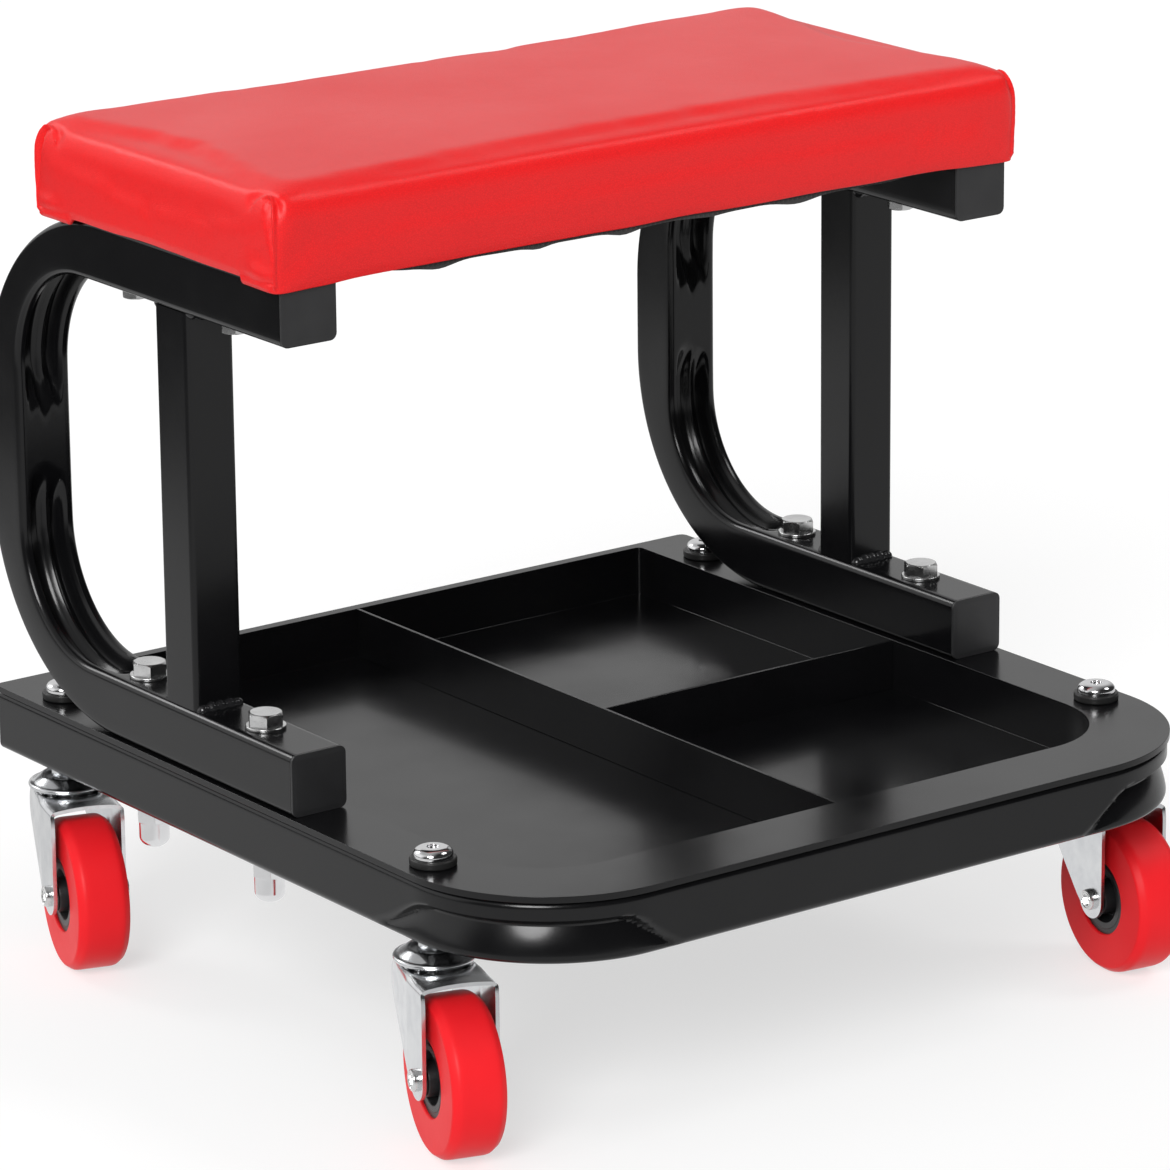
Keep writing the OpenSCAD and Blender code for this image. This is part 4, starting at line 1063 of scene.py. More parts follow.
pan = draw_outline("tray_pan", PAN_HALF, PAN_FRONT, PAN_BACK, PAN_CORNER)
run(z=PAN_FLOOR - TRAY_TOP)
bpy.ops.mesh.edge_face_add()
bpy.ops.object.mode_set(mode="OBJECT")
tray = draw_outline("pressed_tray", TRAY_HALF, TRAY_FRONT, TRAY_BACK, RIM_CORNER)
choose("EDGE", lambda place: place.y < TRAY_BACK - NEAR)
run(z=-2 * SHEET)
run()
bpy.ops.transform.resize(
    value=((TRAY_HALF - HEM) / TRAY_HALF, (TRAY_BACK - TRAY_FRONT - HEM) / (TRAY_BACK - TRAY_FRONT), 1),
    center_override=(0, TRAY_BACK, TRAY_TOP),
)
print("pan", round(2 * PAN_HALF / MM, 1), "by", round((PAN_BACK - PAN_FRONT) / MM, 1), "mm")

# %% Fill, fold and thicken the tray
def join(pieces, name):
    """Makes one object of several pieces, in object mode."""
    work_on(pieces[0])
    for piece in pieces:
        piece.select_set(True)
    bpy.ops.object.join()
    pieces[0].name = name
    pieces[0].data.name = name
    return pieces[0]


join([tray, pan], "pressed_tray")
bpy.ops.object.mode_set(mode="EDIT")
choose("EDGE", lambda place: place.z > TRAY_TOP - NEAR)
bpy.ops.mesh.fill(use_beauty=True)
face_outwards(tray)
FOLD_ROUND = 1.15 * MM
SKIN_SHARE = 0.98
apply_modifier(tray, "BEVEL", width=FOLD_ROUND, segments=4, limit_method="ANGLE", angle_limit=math.radians(40))
apply_modifier(tray, "SOLIDIFY", thickness=SKIN_SHARE * SHEET, offset=-1)
close_piece(tray, "black_powder_coat", "frame", "tool_tray")

# %% [markdown]
# ### The dividers
# Two strips of sheet stand on edge in the pan. Their edges are deburred, so a thin line of light runs along
# the top of each. A cube is sized to the strip and all its edges are rounded.

# %% Stand the dividers
DEBURR = 0.35 * MM


def rounded_block(name, low, high, radius):
    """A block between two corners, with every edge rounded."""
    bpy.ops.mesh.primitive_cube_add(size=1, location=(low + high) / 2)
    piece = begin(name, high - low)
    bpy.ops.mesh.bevel(offset=radius, segments=3, affect="EDGES")
    return piece


for name, node in (("long_divider_strip", "tray_divider_long"), ("cross_divider_strip", "tray_divider_cross")):
    divider = rounded_block(name, *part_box(node), DEBURR)
    close_piece(divider, "black_powder_coat", "frame", node)

# %% [markdown]
# ## End plugs
# Six moulded plugs close the tube ends. A plug is a lip as wide as the tube, with soft edges and a slightly
# domed face, and a shank that grips inside. One is modelled at the origin: the lip's outline is extruded,
# its front is inset and drawn out a little, and its back is inset and extruded to the shank. Copies are turned
# to the tube ends.

# %% Model one plug
PLUG_LIP = 1.5 * MM
PLUG_SHANK = 14 * MM
PLUG_DOME = 0.25 * MM
# The rim and the slope round the dome, the shank's wall and its gap in the tube, and the rounding of the edges
PLUG_RIM, PLUG_SLOPE = 1.6 * MM, 1.0 * MM
PLUG_WALL, PLUG_GAP = 1.1 * MM, 0.1 * MM
PLUG_ROUND = 0.55 * MM


def model_plug():
    """A plug whose lip lies on the XY plane and faces up, with its shank below."""
    bpy.ops.mesh.primitive_plane_add(size=TUBE)
    piece = begin("plug_model")
    bpy.ops.mesh.bevel(offset=TUBE_CORNER, segments=ROUND_STEPS, affect="VERTICES")
    bpy.ops.mesh.extrude_region_move(TRANSFORM_OT_translate={"value": (0, 0, PLUG_LIP - PLUG_DOME)})
    choose("FACE", lambda place: place.z > PLUG_LIP - PLUG_DOME - NEAR)
    bpy.ops.mesh.inset(thickness=PLUG_RIM)
    bpy.ops.mesh.inset(thickness=PLUG_SLOPE)
    bpy.ops.transform.translate(value=(0, 0, PLUG_DOME))
    choose("FACE", lambda place: place.z < NEAR)
    bpy.ops.mesh.inset(thickness=TUBE_WALL + PLUG_GAP)
    bpy.ops.mesh.extrude_region_move(TRANSFORM_OT_translate={"value": (0, 0, -PLUG_SHANK)})
    bpy.ops.mesh.inset(thickness=PLUG_WALL)
    bpy.ops.mesh.extrude_region_move(TRANSFORM_OT_translate={"value": (0, 0, PLUG_SHANK - PLUG_LIP)})
    face_outwards(piece)
    apply_modifier(piece, "BEVEL", width=PLUG_ROUND, segments=3, limit_method="ANGLE", angle_limit=math.radians(40))
    return piece


plug_model = model_plug()
print("plug faces:", len(plug_model.data.polygons))

# %% Set the six plugs
FACING_FRONT = Matrix.Rotation(math.pi / 2, 4, "X")
FACING_BACK = Matrix.Rotation(-math.pi / 2, 4, "X")
for side, sign in SIDES.items():
    for level, z in (("lower", C_LOW + TUBE / 2), ("upper", C_TOP - TUBE / 2)):
        place = Matrix.Translation((sign * RAIL, C_FRONT, z)) @ FACING_FRONT
        plug = copy_of(plug_model, f"{side}_{level}_end_plug", place)
        close_piece(plug, "black_plastic", "frame", f"{side}_{level}_plug")
rear_plugs = [
    copy_of(
        plug_model, f"rear_plug_{side}", Matrix.Translation((sign * RAIL, BASE_BACK, BASE_MIDDLE)) @ FACING_BACK
    )
    for side, sign in SIDES.items()
]
close_piece(join(rear_plugs, "base_tube_end_plugs"), "black_plastic", "frame", "base_tube_plugs")
bpy.data.objects.remove(plug_model)

# %% [markdown]
# ## Bolts, washers and nuts
# Round parts are turned, as on a lathe. A plane is merged to one point, the point is extruded along half of the
# outline, and the line is spun once round the Z axis. Hexagons are cylinders of six sides that a Boolean
# intersects with a turned blank, which leaves the round chamfer of a real bolt head.

# %% Helpers for turned and hexagonal parts
# The flat face of a hexagon, as a share of its width, and how far the turned blank reaches past its points
HEX_FACE, BLANK_REACH = 0.47, 1.01


def turn(name, outline, steps=48):
    """Turns an outline of (radius, height) places about the Z axis."""
    radius, height = outline[0]
    bpy.ops.mesh.primitive_plane_add(size=MM, location=(radius, 0, height))
    piece = begin(name)
    bpy.ops.mesh.merge(type="CENTER")
    for (r, z), (next_r, next_z) in zip(outline, outline[1:]):
        bpy.ops.mesh.extrude_vertices_move(TRANSFORM_OT_translate={"value": (next_r - r, 0, next_z - z)})
    bpy.ops.mesh.select_all(action="SELECT")
    bpy.ops.mesh.spin(steps=steps, angle=math.tau, center=(0, 0, 0), axis=(0, 0, 1))
    face_outwards(piece)
    return piece


def soften(piece, width, segments=2):
    """Rounds the edges that are sharper than 30 degrees."""
    apply_modifier(
        piece, "BEVEL", width=width, segments=segments, limit_method="ANGLE", angle_limit=math.radians(30)
    )


def combine(piece, other, operation):
    """Applies a Boolean with another piece, and removes that piece."""
    apply_modifier(piece, "BOOLEAN", operation=operation, solver="EXACT", object=other)
    bpy.data.objects.remove(other)


def hexagon(name, width, height, chamfer_bottom=False):
    """A hexagonal prism that stands on the XY plane, with round chamfers as on a bolt head."""
    radius = width / 2 / math.cos(math.pi / 6)
    bpy.ops.mesh.primitive_cylinder_add(
        vertices=6, radius=radius, depth=height, location=(0, 0, height / 2), rotation=(0, 0, math.pi / 6)
    )
    piece = begin(name)
    work_on(piece)
    face = HEX_FACE * width
    wide = BLANK_REACH * radius
    drop = (wide - face) * math.tan(math.pi / 6)
    low = [(0, 0), (face, 0), (wide, drop)] if chamfer_bottom else [(0, -MM), (wide, -MM)]
    outline = low + [(wide, height - drop), (face, height), (0, height)]
    combine(piece, turn(name + "_blank", outline, 72), "INTERSECT")
    return piece


# %% [markdown]
# ### The frame bolts
# Four M8 bolts run down through each lower tube, the tray's rim and the base tube, with a washer under the
# head, and a washer and a domed nut at the bottom. Each set is modelled once and copied to the four places,
# which are read from the boxes of the frame's own bolts.

# %% Model and place the frame bolts
BOLT_AF = 13 * MM
BOLT_D = 8 * MM
EDGE_ROUND = 0.08 * MM
WASHER_ROUND = 0.3 * MM
# A washer's width as a share of its bolt's head, its gap about the bolt, and the gap of a close bore
WASHER_WIDE = 1.25
WASHER_GAP = 0.2 * MM
BORE_GAP = 0.05 * MM


def grid_of(node, width):
    """The four places, in plan, of a set of equal parts that are this wide."""
    low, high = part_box(node)
    return [(x, y) for x in (-RAIL, RAIL) for y in (low.y + width / 2, high.y - width / 2)]


def place_copies(model, name, finish, node, places, body="frame"):
    """Copies a model to several places, joins the copies and hands them to the frame."""
    copies = [copy_of(model, f"{name}_{i}", Matrix.Translation(place)) for i, place in enumerate(places)]
    bpy.data.objects.remove(model)
    close_piece(join(copies, name), finish, body, node)


def model_bolt(name, width, head, diameter, shank, tip):
    """A hexagon bolt whose head stands on the XY plane, with its shank below."""
    piece = hexagon(name, width, head)
    half = diameter / 2
    rod = turn(name + "_shank", [
        (0, head / 2), (half, head / 2), (half, tip - shank), (half - tip, -shank), (0, -shank),
    ], 32)
    combine(piece, rod, "UNION")
    soften(piece, EDGE_ROUND)
    return piece


def washer_outline(inner, outer, thickness):
    return [(inner, 0), (outer, 0), (outer, thickness), (inner, thickness), (inner, 0)]


frame_places = grid_of("frame_bolts", BOLT_AF)
LOW_WASHER_Z, HIGH_WASHER_TOP = span("frame_bolt_washers", Z)
BOLT_BOTTOM, BOLT_TOP = span("frame_bolts", Z)
bolt = model_bolt(
    "bolt_model", width=BOLT_AF, head=BOLT_TOP - HIGH_WASHER_TOP, diameter=BOLT_D,
    shank=HIGH_WASHER_TOP - BOLT_BOTTOM, tip=MM,
)
place_copies(
    bolt, "frame_hex_bolts", "zinc_fasteners", "frame_bolts", [(x, y, HIGH_WASHER_TOP) for x, y in frame_places]
)
WASHER_T = HIGH_WASHER_TOP - (C_LOW + TUBE)
washer = turn("washer_model", washer_outline(BOLT_D / 2 + WASHER_GAP, WASHER_WIDE * BOLT_AF / 2, WASHER_T))
soften(washer, WASHER_ROUND, 3)
place_copies(
    washer, "frame_round_washers", "zinc_fasteners", "frame_bolt_washers",
    [(x, y, z) for x, y in frame_places for z in (C_LOW + TUBE, LOW_WASHER_Z)],
)

# %% Model and place the dome nuts
NUT_LOW, NUT_TOP = span("frame_dome_nuts", Z)
NUT_HEX = 0.8 * BOLT_D
DOME_R = BOLT_AF / 2 - 0.25 * MM
DOME_H = 0.72 * DOME_R
NUT_BORE_R = BOLT_D / 2 + BORE_GAP
NUT_BORE_TOP = NUT_HEX + 2.6 * MM


def model_dome_nut():
    """A domed nut whose open face lies on the XY plane, and which points down."""
    nut = hexagon("nut_model", BOLT_AF, NUT_HEX, chamfer_bottom=True)
    height = NUT_TOP - NUT_LOW
    neck = height - DOME_H
    dome = [(DOME_R * math.cos(a), neck + DOME_H * math.sin(a)) for a in (math.pi * i / 24 for i in range(12))]
    outline = [(0, NUT_HEX / 2), (DOME_R, NUT_HEX / 2)] + dome + [(0, height)]
    combine(nut, turn("nut_dome", outline), "UNION")
    bore = turn("nut_bore", [(0, -MM), (NUT_BORE_R, -MM), (NUT_BORE_R, NUT_BORE_TOP), (0, NUT_BORE_TOP)], 32)
    combine(nut, bore, "DIFFERENCE")
    soften(nut, EDGE_ROUND)
    nut.data.transform(Matrix.Rotation(math.pi, 4, "X"))
    return nut


place_copies(
    model_dome_nut(), "frame_acorn_nuts", "chrome", "frame_dome_nuts", [(x, y, NUT_TOP) for x, y in frame_places]
)

# %% [markdown]
# ### The seat bolts
# Four smaller bolts come up through the upper tubes into the T-nuts of the seat board. Only their heads and
# washers show, under the tubes.

# %% Model and place the seat bolts
SEAT_BOLT_AF = 10 * MM
SEAT_BOLT_D = 6 * MM
SEAT_BOLT_LOW, SEAT_BOLT_TOP = span("seat_bolts", Z)
SEAT_WASHER_LOW, SEAT_WASHER_TOP = span("seat_bolt_washers", Z)
seat_places = grid_of("seat_bolts", SEAT_BOLT_AF)
bolt = model_bolt(
    "seat_bolt_model", width=SEAT_BOLT_AF, head=SEAT_WASHER_LOW - SEAT_BOLT_LOW, diameter=SEAT_BOLT_D,
    shank=SEAT_BOLT_TOP - SEAT_WASHER_LOW, tip=MM,
)
bolt.data.transform(Matrix.Rotation(math.pi, 4, "X"))
place_copies(
    bolt, "seat_hex_bolts", "zinc_fasteners", "seat_bolts", [(x, y, SEAT_WASHER_LOW) for x, y in seat_places]
)
washer = turn(
    "seat_washer_model",
    washer_outline(SEAT_BOLT_D / 2 + WASHER_GAP, WASHER_WIDE * SEAT_BOLT_AF / 2, SEAT_WASHER_TOP - SEAT_WASHER_LOW),
)
soften(washer, WASHER_ROUND, 3)
place_copies(
    washer, "seat_round_washers", "zinc_fasteners", "seat_bolt_washers",
    [(x, y, SEAT_WASHER_LOW) for x, y in seat_places],
)

# %% [markdown]
# ### The nuts on the caster stems
# Each caster's stem comes up through the base tube and the tray's rim, and is held by a bright domed nut with
# a small recess, on a black washer. Both are turned. The places of the stems come from the frame's joints.

# %% Model and place the stem nuts
CORNERS = ("front_left", "front_right", "back_left", "back_right")
JOINTS = {joint["name"]: joint for joint in frame["joints"]}
STEMS = {corner: Vector(JOINTS["turn_" + corner]["pos_m"]) for corner in CORNERS}
stem_places = [(stem.x, stem.y, TRAY_TOP) for stem in STEMS.values()]
STEM_D = 10 * MM
STEM_BORE_R = STEM_D / 2 + BORE_GAP
STEM_WASHER_R = 9.2 * MM
STEM_WASHER_T = 3.2 * MM
STEM_WASHER_ROUND = 0.8 * MM
STEM_DOME_R = 7.8 * MM
STEM_DOME_H = 3.9 * MM
STEM_DOME_SIDE = 0.28
STEM_DOME_ROUND = 0.25 * MM
STEM_FLAT_R = 4.2 * MM
STEM_CAVITY = 2.8 * MM
STEM_RECESS_R = 2.3 * MM
STEM_RECESS = 0.9 * MM
washer = turn("stem_washer_model", washer_outline(STEM_D / 2 + WASHER_GAP, STEM_WASHER_R, STEM_WASHER_T))
soften(washer, STEM_WASHER_ROUND, 4)
place_copies(washer, "stem_black_washers", "black_washer", "stem_nut_washers", stem_places)
low, high = STEM_WASHER_T, STEM_WASHER_T + STEM_DOME_H
dome = [
    (
        STEM_FLAT_R + (STEM_DOME_R - STEM_FLAT_R) * math.cos(a),
        low + STEM_DOME_H * (STEM_DOME_SIDE + (1 - STEM_DOME_SIDE) * math.sin(a)),
    )
    for a in (math.pi / 2 * i / 10 for i in range(11))
]
dome_nut = turn("stem_nut_model", [(STEM_BORE_R, low), (STEM_DOME_R, low)] + dome + [
    (STEM_RECESS_R, high), (STEM_RECESS_R, high - STEM_RECESS), (0, high - STEM_RECESS), (0, low + STEM_CAVITY),
    (STEM_BORE_R, low + STEM_CAVITY), (STEM_BORE_R, low),
], 64)
soften(dome_nut, STEM_DOME_ROUND, 3)
place_copies(dome_nut, "stem_bright_nuts", "chrome", "stem_dome_nuts", stem_places)

# %% [markdown]
# ## The seat
# The seat is a plywood board with a firm foam block on it, wrapped in one sheet of vinyl that is pulled down
# over the edges and stapled underneath. A cushion like this is crowned, its long edges are rolled, and its
# sides pull in between the corners. It starts as a flat grid whose border is extruded down, so that every face
# is a neat square, and a function rounds the corners and rolls the top edge. Air pressure in a cloth
# simulation then fills it out as foam does, while the lower border is held, as staples hold it.

# %% Sizes of the cushion
SEAT_LOW, SEAT_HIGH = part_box("seat_cover")
SEAT_MIDDLE = (SEAT_LOW + SEAT_HIGH) / 2
SEAT_HALF = (SEAT_HIGH - SEAT_LOW) / 2
SEAT_CROWN = 3.6 * MM
SEAT_EDGE = SEAT_HIGH.z - SEAT_CROWN
SEAT_CORNER = 9 * MM
SEAT_LOW_CORNER = 2.6 * MM
SEAT_ROLL = 6.5 * MM
SEAT_DRAW = 1.6 * MM
# How much narrower the lower edge is than the seat's shoulders, on each side
LOW_INSET = Vector((1.4 * MM, 3.05 * MM))
SIDE_SWELL = 0.7 * MM
TOP_SWELL = 2.4 * MM
EDGE_SINK = 0.5 * MM
CUSHION_GRID = 4 * MM
# Shares of the way down between which the round corner tightens, and between which the seat narrows
CORNER_TIGHTENS = (0.05, 0.75)
NARROWS = (0.12, 1.0)
# The powers by which the crown falls off along the seat and across it
CROWN_ALONG, CROWN_ACROSS = 3, 2.4


def grid_block(name, half, top, bottom):
    """An open block: a flat grid with its border extruded down, all in squares of one size."""
    columns, rows = round(2 * half.x / CUSHION_GRID), round(2 * half.y / CUSHION_GRID)
    bpy.ops.mesh.primitive_grid_add(
        x_subdivisions=columns, y_subdivisions=rows, size=2, location=(SEAT_MIDDLE.x, SEAT_MIDDLE.y, top)
    )
    piece = begin(name, (half.x, half.y, 1))
    choose("EDGE", lambda place: (
        abs(place.x - SEAT_MIDDLE.x) > half.x - NEAR or abs(place.y - SEAT_MIDDLE.y) > half.y - NEAR
    ))
    run(z=bottom - top, steps=round((top - bottom) / CUSHION_GRID))
    face_outwards(piece)
    return piece


def rounded_corner(x, y, half, radius):
    """Carries a place in a square corner to the round one; returns it with its inset from the outline."""
    over_x, over_y = max(0, abs(x) - (half.x - radius)), max(0, abs(y) - (half.y - radius))
    if over_x == 0 or over_y == 0:
        return x, y, min(half.x - abs(x), half.y - abs(y))
    far = max(over_x, over_y)
    shrink = far / math.hypot(over_x, over_y)
    x = math.copysign(half.x - radius + over_x * shrink, x)
    y = math.copysign(half.y - radius + over_y * shrink, y)
    return x, y, radius - far


def outward(x, y, half, radius):
    """The level direction that points straight out of the cushion at a place."""
    over_x, over_y = abs(x) - (half.x - radius), abs(y) - (half.y - radius)
    if over_x > 0 and over_y > 0:
        direction = Vector((over_x, over_y))
    elif over_x - over_y > 0:
        direction = Vector((1, 0))
    else:
        direction = Vector((0, 1))
    direction.normalize()
    return Vector((math.copysign(direction.x, x), math.copysign(direction.y, y), 0))


def cushion_place(half, top, bottom, roll, corner, low_corner, low_inset):
    def moved(place):
        depth = top - place.z
        down = depth / (top - bottom)
        radius = corner + (low_corner - corner) * smooth_step(*CORNER_TIGHTENS, down)
        x, y, inset = rounded_corner(place.x - SEAT_MIDDLE.x, place.y - SEAT_MIDDLE.y, half, radius)
        sink = 0.0
        if inset < roll and depth < roll:
            across, along = roll - inset, roll - depth
            stretch = roll / math.hypot(across, along) if max(across, along) > 0 else 1
            pull = outward(x, y, half, radius) * (across * stretch - across)
            x, y = x + pull.x, y + pull.y
            sink = along - along * stretch
        u, v = x / half.x, y / half.y
        narrow = smooth_step(*NARROWS, down)
        x *= 1 - (narrow * low_inset.x + SEAT_DRAW * (1 - v * v)) / half.x
        y *= 1 - (narrow * low_inset.y + SEAT_DRAW * (1 - u * u)) / half.y
        crown = 0
        if depth < roll:
            crown = (SEAT_CROWN - TOP_SWELL) * (1 - abs(u) ** CROWN_ALONG) * (1 - abs(v) ** CROWN_ACROSS)
        return Vector((SEAT_MIDDLE.x + x, SEAT_MIDDLE.y + y, place.z - sink + crown))
    return moved


print("seat", [round(2 * v / MM, 1) for v in SEAT_HALF], "edge at", round(SEAT_EDGE / MM, 1))

# %% [markdown]
# ### Filling it out
# Cloth with pressure swells until its stretch holds it. Foam under vinyl swells far less, so each point may
# only go a small way from where it began, further on the top than on the sides. The frames are stepped one by
# one, the result is read once, and the modifier is taken off again, so no simulation stays on the piece.

# %% Fill the cushion by cloth
CLOTH_FRAMES = 20
CLOTH = {
    "quality": 6, "mass": 0.4, "tension_stiffness": 25, "compression_stiffness": 25, "shear_stiffness": 12,
    "bending_stiffness": 1.5, "use_pressure": True, "uniform_pressure_force": 4, "vertex_group_mass": "held",
}


def puff(piece, bottom, side_limit, top_limit, sink_limit):
    """Inflates a piece as cloth with its lower border held, and keeps each point near its start."""
    work_on(piece)
    held = piece.vertex_groups.new(name="held")
    held.add([v.index for v in piece.data.vertices if v.co.z < bottom + CUSHION_GRID / 2], 1.0, "REPLACE")
    cloth = piece.modifiers.new("cloth", "CLOTH")
    for label, value in CLOTH.items():
        setattr(cloth.settings, label, value)
    cloth.settings.effector_weights.gravity = 0
    cloth.point_cache.frame_start = 1
    cloth.point_cache.frame_end = CLOTH_FRAMES
    scene = bpy.context.scene
    for step in range(1, CLOTH_FRAMES + 1):
        scene.frame_set(step)
    filled = piece.evaluated_get(bpy.context.evaluated_depsgraph_get())
    places = [vertex.co.copy() for vertex in filled.data.vertices]
    piece.modifiers.remove(cloth)
    scene.frame_set(1)
    piece.vertex_groups.remove(held)
    most = 0.0
    for vertex, place in zip(piece.data.vertices, places):
        move = place - vertex.co
        move.x = max(-side_limit, min(side_limit, move.x))
        move.y = max(-side_limit, min(side_limit, move.y))
        move.z = max(-sink_limit, min(top_limit, move.z))
        vertex.co += move
        most = max(most, move.length)
    piece.data.update()
    print(piece.name, "swelled by up to", round(most / MM, 2), "mm")


cover = grid_block("vinyl_cover", SEAT_HALF, SEAT_EDGE, SEAT_LOW.z)
reshape(cover, cushion_place(
    SEAT_HALF - Vector((SIDE_SWELL, SIDE_SWELL, 0)), top=SEAT_EDGE, bottom=SEAT_LOW.z, roll=SEAT_ROLL,
    corner=SEAT_CORNER, low_corner=SEAT_LOW_CORNER, low_inset=LOW_INSET,
))
puff(cover, SEAT_LOW.z, SIDE_SWELL, TOP_SWELL, EDGE_SINK)
apply_modifier(cover, "SUBSURF", levels=1, render_levels=1)

# %% [markdown]
# ### The lip and the fold
# Below the board the vinyl makes a narrow doubled lip, turns up inside it and is folded flat under the board,
# where the staples hold it. The border is extruded in small steps along that path. Each step is a new ring,
# drawn in about the seat's middle and lifted.

# %% Turn the vinyl under
# The lip's round: how far each ring is drawn in and lifted, in millimetres
LIP_ROUND = ((0.15, -0.30), (0.35, -0.15), (0.60, 0.0), (0.35, 0.15), (0.15, 0.30))
FOLD_Z = span("seat_dust_cover", Z)[1]
FOLD_W = 7.5 * MM
FOLD_TURN = 0.6 * MM
FOLD_STEPS = 3
VINYL = 0.75 * MM


def draw_in(inward, rise):
    """Extrudes the chosen border, drawing the new ring in and lifting it."""
    bpy.ops.mesh.extrude_edges_move(TRANSFORM_OT_translate={"value": (0, 0, rise)})
    bpy.ops.transform.resize(
        value=(1 - inward / SEAT_HALF.x, 1 - inward / SEAT_HALF.y, 1), center_override=SEAT_MIDDLE
    )


work_on(cover)
bpy.ops.object.mode_set(mode="EDIT")
choose("EDGE", lambda place: place.z < SEAT_LOW.z + NEAR)
for inward, rise in LIP_ROUND:
    draw_in(inward * MM, rise * MM)
draw_in(0, FOLD_Z - SEAT_LOW.z - FOLD_TURN)
draw_in(FOLD_TURN, FOLD_TURN)
for _ in range(FOLD_STEPS):
    draw_in(FOLD_W / FOLD_STEPS, 0)
face_outwards(cover)
print("cover faces:", len(cover.data.polygons))

# %% [markdown]
# ### Gift-wrapped corners
# At each corner the vinyl of the long side is wrapped round to the short side and tucked like gift paper. The
# fold leaves a raised, rolled edge that hooks over at the top, and a groove beside it that closes further
# down. At the bottom the tucked flap hangs a little lower than the rest of the edge. The fold's route is a
# short list of given places: how far past the corner, and how far down from the seat's edge. The
# mesh is divided finely there first.

# %% Fold the corners
PLEAT_ROUTE = [
    Vector((past * MM, down * MM)) for past, down in (
        (-14.5, 4.2), (-12.0, 1.4), (-8.5, 0.0), (-5.6, 0.8), (-3.4, 4.4), (-2.4, 10), (-1.9, 20), (-1.4, 38)
    )
]
PLEAT_REACH = 27 * MM
PLEAT_EDGE = 1.45 * MM
PLEAT_MIDDLE = 0.9 * MM
PLEAT_ROLL = 0.90 * MM
GROOVE_DEEP = 2.4 * MM
CORNER_DIMPLE = 1.3 * MM
GROOVE_WIDE = 9 * MM
GROOVE_END = 30 * MM
GROOVE_LEAST = 0.5 * MM
GROOVE_WALL = (0.1 * MM, 0.8 * MM)
GROOVE_OPEN = 0.4
# The dimple beside the fold: how far past it and how far down its middle is, and its size both ways
DIMPLE_PAST, DIMPLE_DOWN = 3.4 * MM, 2.5 * MM
DIMPLE_WIDE, DIMPLE_HIGH = 2.6 * MM, 6 * MM
FOLD_REACH = 3.2 * MM
FLAP = 24 * MM
FLAP_DROP = 2.4 * MM
FLAP_LINE = 3.2 * MM
FLAP_OUT = 0.5 * MM
FLAP_CREASE = 0.5 * MM
FLAP_BULGE = 0.8 * MM
BULGE_AT, BULGE_WIDE = 6.5 * MM, 3 * MM
FRONT_LIFT = 1.2 * MM
EDGE_WAVE = 0.9 * MM
EDGE_WIDE = 2.2 * MM


def past_corner(place):
    """How far a place on the side lies past the nearest corner: below 0 on the short side, above on the long."""
    down = (SEAT_EDGE - place.z) / (SEAT_EDGE - SEAT_LOW.z)
    narrow = smooth_step(*NARROWS, down)
    radius = SEAT_CORNER + (SEAT_LOW_CORNER - SEAT_CORNER) * smooth_step(*CORNER_TIGHTENS, down)
    over_x = abs(place.x - SEAT_MIDDLE.x) - (SEAT_HALF.x - narrow * LOW_INSET.x - radius)
    over_y = abs(place.y - SEAT_MIDDLE.y) - (SEAT_HALF.y - narrow * LOW_INSET.y - radius)
    arc = radius * math.pi / 4
    if over_x > 0 and over_y > 0:
        return radius * math.atan2(over_y, over_x) - arc
    return over_y - arc if over_x - over_y > 0 else arc - over_x


def down_from_edge(place):
    """How far down a place is from the middle of the rolled edge; it goes on inwards over the top."""
    depth = SEAT_EDGE - place.z
    inset = min(SEAT_HALF.x - abs(place.x - SEAT_MIDDLE.x), SEAT_HALF.y - abs(place.y - SEAT_MIDDLE.y))
    return depth - min(SEAT_ROLL, max(0, inset - SEAT_DRAW)) * (1 - smooth_step(0, SEAT_ROLL, depth))


def route_distance(spot):
    """Distance of a spot from the pleat's route, below 0 on the short side's hand, and how far along it is."""
    best, side, along, length = math.inf, 1, 0.0, 0.0
    for start, end in zip(PLEAT_ROUTE, PLEAT_ROUTE[1:]):
        step = end - start
        share = min(1, max(0, (spot - start).dot(step) / step.length_squared))
        away = spot - (start + step * share)
        if away.length < best:
            best = away.length
            side = -1 if step.x * away.y - step.y * away.x > 0 else 1
            along = length + share * step.length
        length += step.length
    return best * side, along / length


def pleat_height(past, down):
    """How far the folded corner stands out or in at a spot of the side."""
    distance, along = route_distance(Vector((past, down)))
    edge = PLEAT_EDGE * math.exp(-((distance - PLEAT_MIDDLE) / PLEAT_ROLL) ** 2) * smooth_step(0, 0.2, along)
    inside = max(0, -distance)
    width = GROOVE_WIDE * max(0, 1 - down / GROOVE_END) + GROOVE_LEAST
    groove = smooth_step(*GROOVE_WALL, inside) * (1 - smooth_step(0.1 * width, width, inside))
    open_share = 1 - smooth_step(GROOVE_OPEN * GROOVE_END, GROOVE_END, down)
    beside = max(0, distance)
    away = ((beside - DIMPLE_PAST) / DIMPLE_WIDE) ** 2 + ((down - DIMPLE_DOWN) / DIMPLE_HIGH) ** 2
    dimple = math.exp(-away) * (distance > 0)
    return edge - GROOVE_DEEP * groove * open_share * smooth_step(0.05, 0.3, along) - CORNER_DIMPLE * dimple


